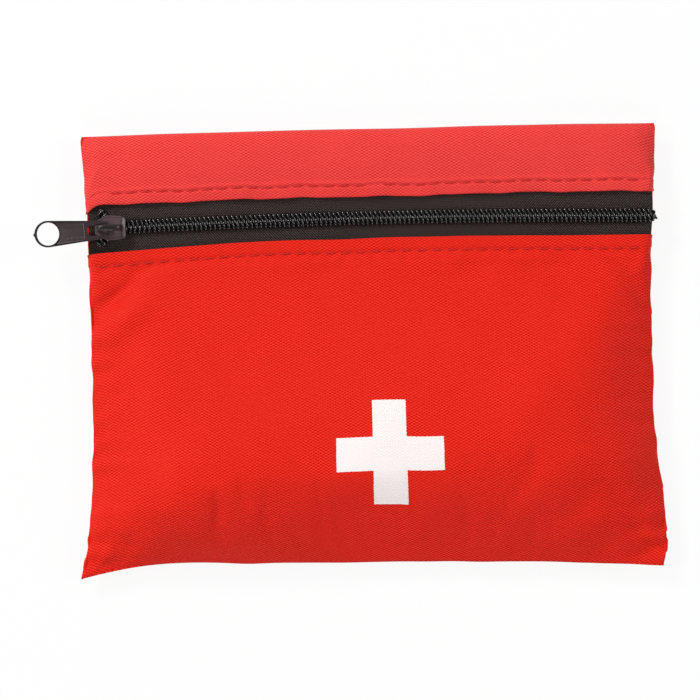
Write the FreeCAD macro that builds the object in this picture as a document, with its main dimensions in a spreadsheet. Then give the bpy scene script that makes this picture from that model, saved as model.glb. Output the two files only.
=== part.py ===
"""Zip-up first aid pouch of red woven polyester, lying on its back with its dressings inside.

The pouch is sewn from a back panel, a front panel and a top strip. A nylon coil zipper joins the front
panel to the top strip. Its slider parts the coils and carries a pull tab on a bridge.

Frame, in millimetres: X runs along the zipper, Y points to the top edge of the pouch and Z is up. The origin
is on the resting face of the back panel, in the middle of the pouch.
"""

import FreeCAD, Part
import math
import os
from types import SimpleNamespace

import Sketcher

Vector = FreeCAD.Vector

# Driving dimensions: alias, value in millimetres or degrees or a plain count, meaning.
SIZES = [
    ("pouch_width", 156.0, "width of the pouch between its corners"),
    ("pouch_height", 119.0, "height from the bottom fold to the top fold"),
    ("side_pull", 2.9, "how far the filling pulls the middle of each side in"),
    ("bottom_pull", 3.0, "how far the filling pulls the middle of the bottom fold in"),
    ("fabric", 0.5, "thickness of the woven polyester"),
    ("rim_level", 4.5, "height of the side seams above the ground"),
    ("side_reach", 52.0, "distance from the side seams at which the front levels out"),
    ("bottom_reach", 32.0, "distance from the bottom fold at which the front levels out"),
    ("fold_reach", 5.0, "distance from the top fold at which the top strip levels out"),
    ("back_reach", 12.0, "distance from the seams at which the back lies flat"),
    ("roll_top", 19.5, "height that the rolled sides would reach, cut off by the crest"),
    ("crest_level", 18.0, "height of the filled front above the ground"),
    ("crest_below", 30.0, "distance of the crest below the middle of the pouch"),
    ("ground_press", 1.0, "how far the back would sag below the ground that presses it flat"),
    ("zip_offset", 35.0, "distance of the zipper above the middle of the pouch"),
    ("window_half", 5.4, "half the width of the slot that shows the zipper tape"),
    ("lip_gap", 0.5, "clearance between the tapes and the fabric lips"),
    ("hinge_gap", 0.3, "clearance between the top strip and the back panel"),
    ("tape_lift", 0.6, "height of the zipper tape above the side seams"),
    ("tape_thick", 0.5, "thickness of the zipper tape"),
    ("tape_reach", 12.0, "distance of the tape's hidden edge from the zipper line"),
    ("tape_inner", 1.35, "distance of the tape's inner edge from the zipper line"),
    ("tape_inset", 4.0, "distance of the tape's hidden ends from the side seams"),
    ("band_inset", 0.9, "distance of the tape's shown end from the side seam"),
    ("coil_pitch", 1.25, "distance between neighbouring turns of one coil"),
    ("coil_height", 1.8, "height of the coil above the tape"),
    ("coil_heel", 1.95, "distance of the coil's heel from the zipper line"),
    ("coil_spine", 0.65, "width of the stitched heel that carries the turns"),
    ("coil_bite", 0.6, "how far the head of a turn reaches over the zipper line"),
    ("coil_waist", 0.34, "width of a turn at its spine"),
    ("coil_gap", 0.1, "clearance between meshed turns"),
    ("coil_overrun", 1.2, "how far the closed coils run out past the side seam"),
    ("spread_radius", 5.0, "radius along which the slider parts the coils"),
    ("spread_angle", 50.0, "angle at which each parted coil leaves the slider"),
    ("spread_tail", 2.0, "length of the parted coil beyond that bend"),
    ("slider_length", 8.2, "length of the slider along the zipper"),
    ("slider_margin", 2.6, "distance from the slider's nose to the side seam"),
    ("slider_gap", 0.25, "running clearance of the slider on tape and coil"),
    ("slider_nose", 3.2, "width of the slider's nose"),
    ("shoulder_place", 0.1, "distance of the slider's shoulders behind its middle"),
    ("shoulder_flare", 0.8, "how much wider each flange stands at the shoulder than at the rear"),
    ("plate_thick", 0.8, "thickness of the slider's two plates"),
    ("flange_wall", 0.42, "thickness of the slider's side flanges"),
    ("post_width", 1.4, "width of the wedge post between the plates"),
    ("post_tip", 0.2, "width of the wedge post at its rear tip"),
    ("post_setback", 0.5, "distance of the wedge post from the nose"),
    ("pivot_place", 0.5, "distance of the pull tab's pivot before the slider's middle"),
    ("bridge_width", 1.5, "width of the bridge that carries the pull tab"),
    ("bridge_span", 4.6, "clear length under the bridge"),
    ("bridge_thick", 0.9, "thickness of the bridge"),
    ("bridge_play", 0.6, "clearance of the pull tab's bar under the bridge"),
    ("bridge_round", 1.1, "radius of the bridge's upper corners"),
    ("pull_gap", 0.3, "clearance between the pull tab and the slider's top"),
    ("pull_length", 20.0, "distance from the pull tab's pivot to its far end"),
    ("pull_thick", 0.9, "thickness of the pull tab and of the bar that it turns on"),
    ("pull_neck", 4.8, "width of the pull tab at its pivot"),
    ("ring_bore", 5.8, "diameter of the hole in the pull tab's ring"),
    ("ring_rim", 0.7, "width of the rim around that hole"),
    ("grip_rim", 0.8, "width of the raised border round the pull tab's grip"),
    ("grip_depth", 0.15, "depth of the grip on each face of the pull tab"),
    ("eye_play", 0.55, "clearance of the bridge at each side of the pull tab's eye"),
    ("eye_reach", 2.6, "length of the pull tab's eye beyond the bridge"),
    ("eye_round", 0.8, "radius of the corners of the pull tab's eye"),
    ("rest_gap", 0.3, "clearance between the dressings and what they lie on"),
    ("packing_gap", 2.0, "distance between neighbouring dressings"),
    ("seal_thick", 0.3, "thickness of a packet's sealed edge"),
    ("packet_slope", 0.8, "share of a packet's shoulders that slopes"),
    ("divider", 9.0, "distance of the line between gauze and wipes from the middle, to the left"),
    ("gauze_side", 48.0, "side of a gauze packet"),
    ("gauze_thick", 2.4, "thickness of a gauze packet"),
    ("gauze_seal", 4.0, "width of a gauze packet's sealed edge"),
    ("gauze_count", 2, "number of gauze packets"),
    ("wipe_width", 42.0, "width of a wipe sachet"),
    ("wipe_height", 30.0, "height of a wipe sachet"),
    ("wipe_thick", 1.2, "thickness of a wipe sachet"),
    ("wipe_seal", 4.0, "width of a wipe sachet's sealed edge"),
    ("wipe_count", 3, "number of wipe sachets"),
    ("plaster_length", 66.0, "length of a wrapped plaster"),
    ("plaster_width", 22.0, "width of a wrapped plaster"),
    ("plaster_thick", 0.7, "thickness of a wrapped plaster"),
    ("plaster_seal", 2.5, "width of a plaster wrapper's sealed edge"),
    ("plaster_count", 3, "number of wrapped plasters"),
    ("plaster_right", 26.0, "distance of the plasters' right end from the middle"),
    ("plaster_top", 5.0, "distance of the plasters' upper edge from the middle"),
    ("glove_width", 24.0, "width of the packet of gloves"),
    ("glove_height", 32.0, "height of the packet of gloves"),
    ("glove_thick", 3.4, "thickness of the packet of gloves"),
    ("glove_seal", 3.0, "width of the glove packet's sealed edge"),
    ("bandage_diameter", 14.0, "diameter of the rolled bandage"),
    ("bandage_length", 62.0, "width of the rolled bandage"),
    ("bandage_bore", 3.0, "hole in the middle of the rolled bandage"),
    ("bandage_left", 49.0, "distance of the bandage's left end from the middle"),
    ("roll_diameter", 28.0, "diameter of the adhesive tape"),
    ("roll_width", 9.0, "width of the adhesive tape"),
    ("roll_place", 45.0, "distance of the adhesive tape from the middle, to the right"),
    ("roll_below", 30.0, "distance of the adhesive tape below the middle"),
    ("spool_diameter", 20.0, "diameter of the spool inside the adhesive tape"),
    ("spool_wall", 1.6, "wall of the spool"),
    ("spool_fit", 0.15, "clearance between the spool and the adhesive tape"),
    ("spool_lip", 0.8, "how far the spool's two lips stand into its bore"),
]

# Places that follow from the sizes: alias, formula in the sheet's own cells and those of the sizes, meaning.
PLACES = [
    ("side_edge", "Size.pouch_width / 2 - Size.side_pull * (1 - (2 * Size.zip_offset / Size.pouch_height)^2)",
     "half the width of the pouch at the zipper"),
    ("lower_lip", "Size.zip_offset - Size.window_half", "free edge of the front panel"),
    ("upper_lip", "Size.zip_offset + Size.window_half", "free edge of the top strip"),
    ("tape_bottom", "Size.rim_level + Size.tape_lift", "underside of the tapes"),
    ("tape_top", "tape_bottom + Size.tape_thick", "upper side of the tapes"),
    ("lip_level", "tape_top + Size.lip_gap + Size.fabric", "upper side of the fabric lips"),
    ("coil_top", "tape_top + Size.coil_height", "upper side of the coils"),
    ("base_bottom", "tape_bottom - Size.slider_gap - Size.plate_thick", "underside of the slider"),
    ("flange_bottom", "tape_top + Size.slider_gap", "lower edge of the slider's flanges"),
    ("crown_bottom", "coil_top + Size.slider_gap", "underside of the slider's upper plate"),
    ("crown_top", "crown_bottom + Size.plate_thick", "upper side of the slider's upper plate"),
    ("slider_rest", "-side_edge + Size.slider_margin + Size.slider_length / 2", "slider at the closed end"),
    ("rear_half", "Size.coil_heel + Size.slider_gap + Size.flange_wall",
     "half the width of the slider's rear"),
    ("shoulder_half", "rear_half + Size.shoulder_flare", "half the width of the slider's shoulders"),
    ("heel_radius", "Size.spread_radius - Size.coil_heel", "bend of the parted coil's heel"),
    ("spread_start", "Size.shoulder_place + sqrt(heel_radius^2 - (heel_radius - Size.shoulder_flare)^2)",
     "where the coils begin to part, behind the slider's middle"),
    ("head_radius", "Size.spread_radius + Size.coil_bite", "bend of the parted coil's heads"),
    ("tip_lift", "Size.spread_radius - Size.slider_gap - Size.post_tip / 2", "heads clear of the post's tip"),
    ("post_rear", "spread_start - sqrt(head_radius^2 - tip_lift^2)", "rear tip of the wedge post"),
    ("peak_lift", "Size.spread_radius - Size.slider_gap - Size.post_width / 2",
     "heads clear of the full post"),
    ("post_peak", "spread_start - sqrt(head_radius^2 - peak_lift^2) - Size.slider_gap",
     "widest place of the wedge post"),
    ("pivot_level", "crown_top + Size.pull_gap + Size.pull_thick / 2", "height of the pull tab's pivot"),
    ("bridge_inside", "pivot_level + Size.pull_thick / 2 + Size.bridge_play", "underside of the bridge"),
    ("bridge_half", "Size.bridge_span / 2 + Size.bridge_thick", "half the outer length of the bridge"),
    ("ring_radius", "Size.ring_bore / 2 + Size.ring_rim", "outer radius of the pull tab's ring"),
    ("ring_place", "Size.pull_length - ring_radius", "distance from the pivot to the ring's middle"),
    ("eye_end", "bridge_half + Size.eye_reach", "far end of the pull tab's eye"),
    ("grip_start", "eye_end + Size.grip_rim", "distance from the pivot to the grip's near end"),
    ("grip_end", "ring_place - Size.ring_bore / 2 - Size.grip_rim", "distance to the grip's far end"),
    ("pull_taper", "(ring_radius - Size.pull_neck / 2) / ring_place", "widening of each side of the pull tab"),
    ("grip_near", "Size.pull_neck / 2 + pull_taper * grip_start - Size.grip_rim",
     "half the grip's width at its near end"),
    ("grip_far", "Size.pull_neck / 2 + pull_taper * grip_end - Size.grip_rim",
     "half the grip's width at its far end"),
    ("floor_inside", "Size.fabric + Size.rest_gap", "level on which the dressings lie"),
    ("packing_top", "Size.zip_offset - Size.tape_reach - Size.packing_gap / 2",
     "upper edge of the dressings"),
    ("gauze_step", "Size.gauze_thick + Size.rest_gap", "rise from one gauze packet to the next"),
    ("gauze_left", "-Size.divider - Size.packing_gap / 2 - Size.gauze_side", "left edge of the gauze"),
    ("gauze_bottom", "packing_top - Size.gauze_side", "lower edge of the gauze"),
    ("gauze_top_level", "floor_inside + Size.gauze_count * gauze_step", "level on which the plasters lie"),
    ("wipe_step", "Size.wipe_thick + Size.rest_gap", "rise from one wipe sachet to the next"),
    ("wipe_left", "-Size.divider + Size.packing_gap / 2", "left edge of the wipes"),
    ("wipe_bottom", "packing_top - Size.wipe_height", "lower edge of the wipes"),
    ("plaster_step", "Size.plaster_thick + Size.rest_gap", "rise from one plaster to the next"),
    ("glove_left", "wipe_left + Size.wipe_width + Size.packing_gap", "left edge of the gloves"),
    ("glove_bottom", "packing_top - Size.glove_height", "lower edge of the gloves"),
    ("bandage_line", "gauze_bottom - Size.packing_gap - Size.bandage_diameter / 2", "middle of the bandage"),
]

# Degrees through which each bowed side is turned, enough to cover the pouch.
BOW_SWEEP = 12.0
# More than any size of the pouch, for the half spaces that its fabric is cut with.
BEYOND = 500.0


def add_sheet(doc, name, rows):
    """Spreadsheet with one row of alias, value or formula, and meaning for each entry."""
    sheet = doc.addObject("Spreadsheet::Sheet", name)
    for line, (alias, content, meaning) in enumerate(rows, start=1):
        sheet.set(f"A{line}", alias)
        sheet.set(f"B{line}", content if isinstance(content, str) else str(content))
        sheet.setAlias(f"B{line}", alias)
        sheet.set(f"C{line}", meaning)
    return sheet


def read_sheets(*pairs):
    """Every cell of the sheets as an attribute, for the shapes that are worked out point by point."""
    return SimpleNamespace(**{alias: float(sheet.get(alias)) for sheet, rows in pairs for alias, *_ in rows})


def add_body(doc, name, place):
    """Body named after its sub-part, placed by three expressions."""
    body = doc.addObject("PartDesign::Body", name)
    body.Label = name
    for axis, expression in zip("xyz", place):
        body.setExpression(f"Placement.Base.{axis}", expression)
    return body


def add_sketch(body, name, plane, level="0"):
    """Empty sketch on one of the body's own origin planes, raised by an expression."""
    sketch = body.newObject("Sketcher::SketchObject", name)
    support = next(feature for feature in body.Origin.OriginFeatures if feature.Role == plane)
    sketch.AttachmentSupport = [(support, "")]
    sketch.MapMode = "FlatFace"
    sketch.setExpression("AttachmentOffset.Base.z", level)
    return sketch


def number(owner, expression):
    """Present value of an expression."""
    return float(owner.evalExpression(expression))


def hold_point(sketch, geometry, point, place):
    """Dimension one point of the sketch from its origin by two expressions."""
    for kind, expression in zip(("DistanceX", "DistanceY"), place):
        value = number(sketch, expression)
        index = sketch.addConstraint(Sketcher.Constraint(kind, -1, 1, geometry, point, value))
        sketch.setExpression(f"Constraints[{index}]", expression)


def draw_polygon(sketch, corners):
    """Closed polygon; each corner is a pair of expressions."""
    points = [Vector(number(sketch, across), number(sketch, along), 0) for across, along in corners]
    lines = []
    for start, end in zip(points, points[1:] + points[:1]):
        lines.append(sketch.addGeometry(Part.LineSegment(start, end)))
    for line, following in zip(lines, lines[1:] + lines[:1]):
        sketch.addConstraint(Sketcher.Constraint("Coincident", line, 2, following, 1))
    for line, corner in zip(lines, corners):
        hold_point(sketch, line, 1, corner)


def draw_circle(sketch, center, radius):
    """Circle from two expressions for its centre and one for its radius."""
    middle = Vector(number(sketch, center[0]), number(sketch, center[1]), 0)
    circle = sketch.addGeometry(Part.Circle(middle, Vector(0, 0, 1), number(sketch, radius)))
    hold_point(sketch, circle, 3, center)
    index = sketch.addConstraint(Sketcher.Constraint("Radius", circle, number(sketch, radius)))
    sketch.setExpression(f"Constraints[{index}]", radius)


def rectangle(left, right, low, high):
    """Corners of an upright rectangle."""
    return [(left, low), (right, low), (right, high), (left, high)]


def add_feature(body, kind, name, sketch, length, symmetric=False, away=False):
    """Pad or pocket of a sketch by an expression."""
    feature = body.newObject(f"PartDesign::{kind}", name)
    feature.Profile = sketch
    feature.setExpression("Length", length)
    feature.SideType = "Symmetric" if symmetric else "One side"
    feature.Reversed = away
    sketch.Visibility = False
    body.Document.recompute()
    return feature


def upright_edges(shape, corners):
    """Names of the edges that stand over the given plan points."""
    names = []
    for index, edge in enumerate(shape.Edges, start=1):
        ends = [vertex.Point for vertex in edge.Vertexes]
        upright = len(ends) == 2 and abs(ends[0].z - ends[1].z) > 1e-6
        for x, y in corners:
            if upright and all(math.hypot(end.x - x, end.y - y) < 1e-4 for end in ends):
                names.append(f"Edge{index}")
    return names


def level_edges(shape, levels):
    """Names of the edges that lie at the given heights."""
    names = []
    for index, edge in enumerate(shape.Edges, start=1):
        box = edge.BoundBox
        if any(abs(box.ZMin - level) < 1e-4 and abs(box.ZMax - level) < 1e-4 for level in levels):
            names.append(f"Edge{index}")
    return names


def cross_edges(shape, levels):
    """Names of the straight edges at the given heights that run along Y."""
    names = []
    for name in level_edges(shape, levels):
        box = shape.getElement(name).BoundBox
        if box.XLength < 1e-4 < box.YLength:
            names.append(name)
    return names


def add_dress_up(body, kind, name, base, edges, size):
    """Fillet or chamfer of named edges by an expression."""
    feature = body.newObject(f"PartDesign::{kind}", name)
    feature.Base = (base, edges)
    feature.setExpression("Radius" if kind == "Fillet" else "Size", size)
    body.Document.recompute()
    return feature


def level_arc(start, end):
    """Arc in an upright plane from a start on a slope to an end where it runs level."""
    rise = end.z - start.z
    run = math.hypot(end.x - start.x, end.y - start.y)
    center = end - Vector(0, 0, (run ** 2 + rise ** 2) / (2 * rise))
    half_way = (start - center) + (end - center)
    return Part.Arc(start, center + half_way.normalize() * (end - center).Length, end).toShape()


def crown(size, inset):
    """Pouch as it is along its middle, from the top fold to the crest, the same at every place across it."""
    fold = size.pouch_height / 2
    lip = size.lip_level - inset
    crest = size.crest_level - inset
    seam = Vector(-BEYOND, fold - inset, size.rim_level)
    ground_end = Vector(-BEYOND, fold - size.back_reach, inset)
    strip_end = Vector(-BEYOND, fold - size.fold_reach, lip)
    lip_end = Vector(-BEYOND, size.lower_lip, lip)
    crest_end = Vector(-BEYOND, -size.crest_below, crest)
    crest_beyond = Vector(-BEYOND, -BEYOND, crest)
    ground_beyond = Vector(-BEYOND, -BEYOND, inset)
    half_way = (lip_end + crest_end) / 2
    edges = [
        level_arc(seam, ground_end), level_arc(seam, strip_end), Part.makeLine(strip_end, lip_end),
        level_arc(half_way, lip_end), level_arc(half_way, crest_end), Part.makeLine(crest_end, crest_beyond),
        Part.makeLine(crest_beyond, ground_beyond), Part.makeLine(ground_beyond, ground_end),
    ]
    return Part.Face(Part.Wire(Part.__sortEdges__(edges))).extrude(Vector(2 * BEYOND, 0, 0))


def bowed_side(size, inset, span, pull, reach):
    """Everything within one side that is bowed in by the filling, turned about the far centre of its bow.

    The middle of the side is at the origin and the pouch lies towards negative X.
    """
    seam = Vector(-inset, 0, size.rim_level)
    front_end = Vector(-reach, 0, size.roll_top - inset)
    back_end = Vector(-size.back_reach, 0, inset - size.ground_press)
    front_beyond = Vector(-BEYOND, 0, front_end.z)
    back_beyond = Vector(-BEYOND, 0, back_end.z)
    edges = [
        level_arc(seam, front_end), level_arc(seam, back_end), Part.makeLine(back_end, back_beyond),
        Part.makeLine(back_beyond, front_beyond), Part.makeLine(front_beyond, front_end),
    ]
    face = Part.Face(Part.Wire(Part.__sortEdges__(edges)))
    center = Vector((span / 2) ** 2 / (2 * pull) + pull / 2, 0, 0)
    face.rotate(center, Vector(0, 0, 1), -BOW_SWEEP / 2)
    return face.revolve(center, Vector(0, 0, 1), BOW_SWEEP)


def cushion(size, inset):
    """Closed cushion of the whole pouch, drawn in from its outer surface and pressed flat below."""
    side = size.pouch_width / 2 - size.side_pull
    bottom = size.pouch_height / 2 - size.bottom_pull
    right = bowed_side(size, inset, size.pouch_height, size.side_pull, size.side_reach)
    left = right.rotated(Vector(), Vector(0, 0, 1), 180)
    low = bowed_side(size, inset, size.pouch_width, size.bottom_pull, size.bottom_reach)
    low.rotate(Vector(), Vector(0, 0, 1), -90)
    right.translate(Vector(side, 0, 0))
    left.translate(Vector(-side, 0, 0))
    low.translate(Vector(0, -bottom, 0))
    return crown(size, inset).common(right).common(left).common(low)


def slab(y_low, y_high, z_low, z_high):
    """Block across the whole pouch between two plan heights and two levels."""
    corner = Vector(-BEYOND, y_low, z_low)
    return Part.makeBox(2 * BEYOND, y_high - y_low, z_high - z_low, corner)


def add_feature_shape(doc, name, shape):
    """Sub-part whose shape is worked out from the sheets' sizes."""
    feature = doc.addObject("Part::Feature", name)
    feature.Label = name
    feature.Shape = shape
    feature.Placement = FreeCAD.Placement()
    return feature


def add_fabric(doc, size):
    """Back panel, front panel and top strip, cut from one hollow skin along the side seams and the lips."""
    skin = cushion(size, 0).cut(cushion(size, size.fabric))
    back = skin.common(slab(-BEYOND, BEYOND, 0, size.rim_level))
    front = skin.common(slab(-BEYOND, size.lower_lip, size.rim_level, BEYOND))
    strip = skin.common(slab(size.upper_lip, BEYOND, size.rim_level + size.hinge_gap, BEYOND))
    return [
        add_feature_shape(doc, "back_panel", back),
        add_feature_shape(doc, "front_panel", front),
        add_feature_shape(doc, "top_strip", strip),
    ]


def add_zipper_tape(doc, name, side):
    """Woven tape on one side of the zipper line, bent away from it where the slider parts the chain."""
    body = add_body(doc, name, ("0", "Size.zip_offset", "Place.tape_bottom"))
    sketch = add_sketch(body, f"{name}_outline", "XY_Plane")
    hidden = "(Place.side_edge - Size.tape_inset)"
    shown = "(Place.side_edge - Size.band_inset)"
    band = "(Size.window_half - Size.rest_gap)"
    bend_radius = "(Size.spread_radius - Size.tape_inner)"
    bend = f"(Place.slider_rest + Place.spread_start - {bend_radius} * tan(Size.spread_angle * 0.5deg))"
    parted = f"(Size.tape_inner + ({bend} + {hidden}) * tan(Size.spread_angle * 1deg))"
    draw_polygon(sketch, [
        (shown, f"{side} * Size.tape_inner"),
        (shown, f"{side} * {band}"),
        (hidden, f"{side} * {band}"),
        (hidden, f"{side} * Size.tape_reach"),
        (f"-{hidden}", f"{side} * Size.tape_reach"),
        (f"-{hidden}", f"{side} * {parted}"),
        (bend, f"{side} * Size.tape_inner"),
    ])
    pad = add_feature(body, "Pad", f"{name}_pad", sketch, "Size.tape_thick")
    corner = (number(sketch, bend), side * number(sketch, "Size.tape_inner"))
    edges = upright_edges(pad.Shape, [corner])
    add_dress_up(body, "Fillet", f"{name}_bend", pad, edges, bend_radius)
    return body


def coil_frame(size, side, travel):
    """Point on the coil's meshing line and the direction to its heel, after a travel from its closed end."""
    start = size.side_edge + size.coil_overrun
    bend = size.slider_rest + size.spread_start
    straight = start - bend
    angle = math.radians(size.spread_angle)
    radius = size.spread_radius
    if travel <= straight:
        return Vector(start - travel, size.zip_offset, size.tape_top), Vector(0, side, 0)
    turned = min((travel - straight) / size.heel_radius, angle)
    tail = travel - straight - turned * size.heel_radius
    along = bend - radius * math.sin(turned) - tail * math.cos(turned)
    away = radius * (1 - math.cos(turned)) + tail * math.sin(turned)
    heel = Vector(math.sin(turned), side * math.cos(turned), 0)
    return Vector(along, size.zip_offset + side * away, size.tape_top), heel


def add_zipper_coil(doc, size, name, side, phase):
    """Row of coil turns that widen from waist to head and lock between those of the other row."""
    straight = size.side_edge + size.coil_overrun - size.slider_rest - size.spread_start
    bend = size.heel_radius * math.radians(size.spread_angle)
    length = straight + bend + size.spread_tail
    waist_half = size.coil_waist / 2
    root = size.coil_heel - size.coil_spine
    flare = (size.coil_pitch / 2 - size.coil_gap - size.coil_waist) * (root + size.coil_bite) / (2 * root)
    tip_half = waist_half + flare
    turn = (
        (-waist_half, root), (-tip_half, -size.coil_bite), (tip_half, -size.coil_bite), (waist_half, root),
    )
    point, heel = coil_frame(size, side, 0)
    corners = [point + heel * size.coil_heel, point + heel * root]
    for index in range(int((length - phase - tip_half) / size.coil_pitch) + 1):
        point, heel = coil_frame(size, side, phase + index * size.coil_pitch)
        onward = Vector(-heel.y * side, heel.x * side, 0)
        corners += [point + onward * travel + heel * reach for travel, reach in turn]
    point, heel = coil_frame(size, side, length)
    corners += [point + heel * root, point + heel * size.coil_heel]
    bend_ends = [coil_frame(size, side, straight + bend * share) for share in (1.0, 0.5, 0.0)]
    bend_points = [point + heel * size.coil_heel for point, heel in bend_ends]
    edges = [Part.LineSegment(start, end).toShape() for start, end in zip(corners, corners[1:])]
    edges.append(Part.LineSegment(corners[-1], bend_points[0]).toShape())
    edges.append(Part.Arc(*bend_points).toShape())
    edges.append(Part.LineSegment(bend_points[-1], corners[0]).toShape())
    face = Part.Face(Part.Wire(edges))
    return add_feature_shape(doc, name, face.extrude(Vector(0, 0, size.coil_height)))


def shield(width_change="0"):
    """Outline of the slider's plates: narrow nose, wide shoulders and a waist for the closed chain."""
    nose = f"-Size.slider_length / 2 + {width_change}"
    rear = f"Size.slider_length / 2 - {width_change}"
    nose_half = f"(Size.slider_nose / 2 - {width_change})"
    shoulder_half = f"(Place.shoulder_half - {width_change})"
    rear_half = f"(Place.rear_half - {width_change})"
    return [
        (nose, f"-{nose_half}"), ("Size.shoulder_place", f"-{shoulder_half}"), (rear, f"-{rear_half}"),
        (rear, rear_half), ("Size.shoulder_place", shoulder_half), (nose, nose_half),
    ]


def add_slider(doc):
    """Slider: two plates on a wedge post, flanges that hold the chain and a bridge for the pull tab."""
    body = add_body(doc, "zipper_slider", ("Place.slider_rest", "Size.zip_offset", "0"))

    sketch = add_sketch(body, "slider_base_outline", "XY_Plane", "Place.base_bottom")
    draw_polygon(sketch, shield())
    add_feature(body, "Pad", "slider_base", sketch, "Size.plate_thick")

    sketch = add_sketch(body, "slider_post_outline", "XY_Plane", "Place.base_bottom")
    front = "(-Size.slider_length / 2 + Size.post_setback)"
    draw_polygon(sketch, [
        (front, "-Size.post_tip"), ("Place.post_peak", "-Size.post_width / 2"),
        ("Place.post_rear", "-Size.post_tip / 2"), ("Place.post_rear", "Size.post_tip / 2"),
        ("Place.post_peak", "Size.post_width / 2"), (front, "Size.post_tip"),
    ])
    add_feature(body, "Pad", "slider_post", sketch, "Place.crown_top - Place.base_bottom")

    sketch = add_sketch(body, "slider_crown_outline", "XY_Plane", "Place.crown_bottom")
    draw_polygon(sketch, shield())
    crown = add_feature(body, "Pad", "slider_crown", sketch, "Size.plate_thick")

    corners = [(number(sketch, x), number(sketch, y)) for x, y in shield()]
    edges = upright_edges(crown.Shape, corners)
    rounded = add_dress_up(body, "Fillet", "slider_corners", crown, edges, "Size.plate_thick")
    rim = level_edges(rounded.Shape, [number(sketch, "Place.crown_top")])
    add_dress_up(body, "Fillet", "slider_crown_edge", rounded, rim, "Size.plate_thick / 2")

    sketch = add_sketch(body, "slider_flange_outlines", "XY_Plane", "Place.flange_bottom")
    rear = "(Size.slider_length / 2 - Size.plate_thick)"
    whole = "(Size.slider_length / 2 - Size.shoulder_place)"
    taper = f"(Size.shoulder_flare * ({rear} - Size.shoulder_place) / {whole})"
    for side in (-1, 1):
        outer = "Place.shoulder_half"
        inner = "(Place.shoulder_half - Size.flange_wall)"
        draw_polygon(sketch, [
            ("Size.shoulder_place", f"{side} * {outer}"), (rear, f"{side} * ({outer} - {taper})"),
            (rear, f"{side} * ({inner} - {taper})"), ("Size.shoulder_place", f"{side} * {inner}"),
        ])
    add_feature(body, "Pad", "slider_flanges", sketch, "Place.crown_bottom - Place.flange_bottom")

    sketch = add_sketch(body, "slider_bridge_outline", "XZ_Plane")
    pivot = "-Size.pivot_place"
    top = "(Place.bridge_inside + Size.bridge_thick)"
    draw_polygon(sketch, [
        (f"{pivot} - Place.bridge_half", "Place.crown_bottom"), (f"{pivot} - Place.bridge_half", top),
        (f"{pivot} + Place.bridge_half", top), (f"{pivot} + Place.bridge_half", "Place.crown_bottom"),
        (f"{pivot} + Size.bridge_span / 2", "Place.crown_bottom"),
        (f"{pivot} + Size.bridge_span / 2", "Place.bridge_inside"),
        (f"{pivot} - Size.bridge_span / 2", "Place.bridge_inside"),
        (f"{pivot} - Size.bridge_span / 2", "Place.crown_bottom"),
    ])
    bridge = add_feature(body, "Pad", "slider_bridge", sketch, "Size.bridge_width", symmetric=True)
    outer = cross_edges(bridge.Shape, [number(sketch, top)])
    shoulders = add_dress_up(body, "Fillet", "slider_bridge_shoulders", bridge, outer, "Size.bridge_round")
    inner = cross_edges(shoulders.Shape, [number(sketch, "Place.bridge_inside")])
    add_dress_up(body, "Fillet", "slider_bridge_throat", shoulders, inner, "Size.bridge_round / 2")
    return body


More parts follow.
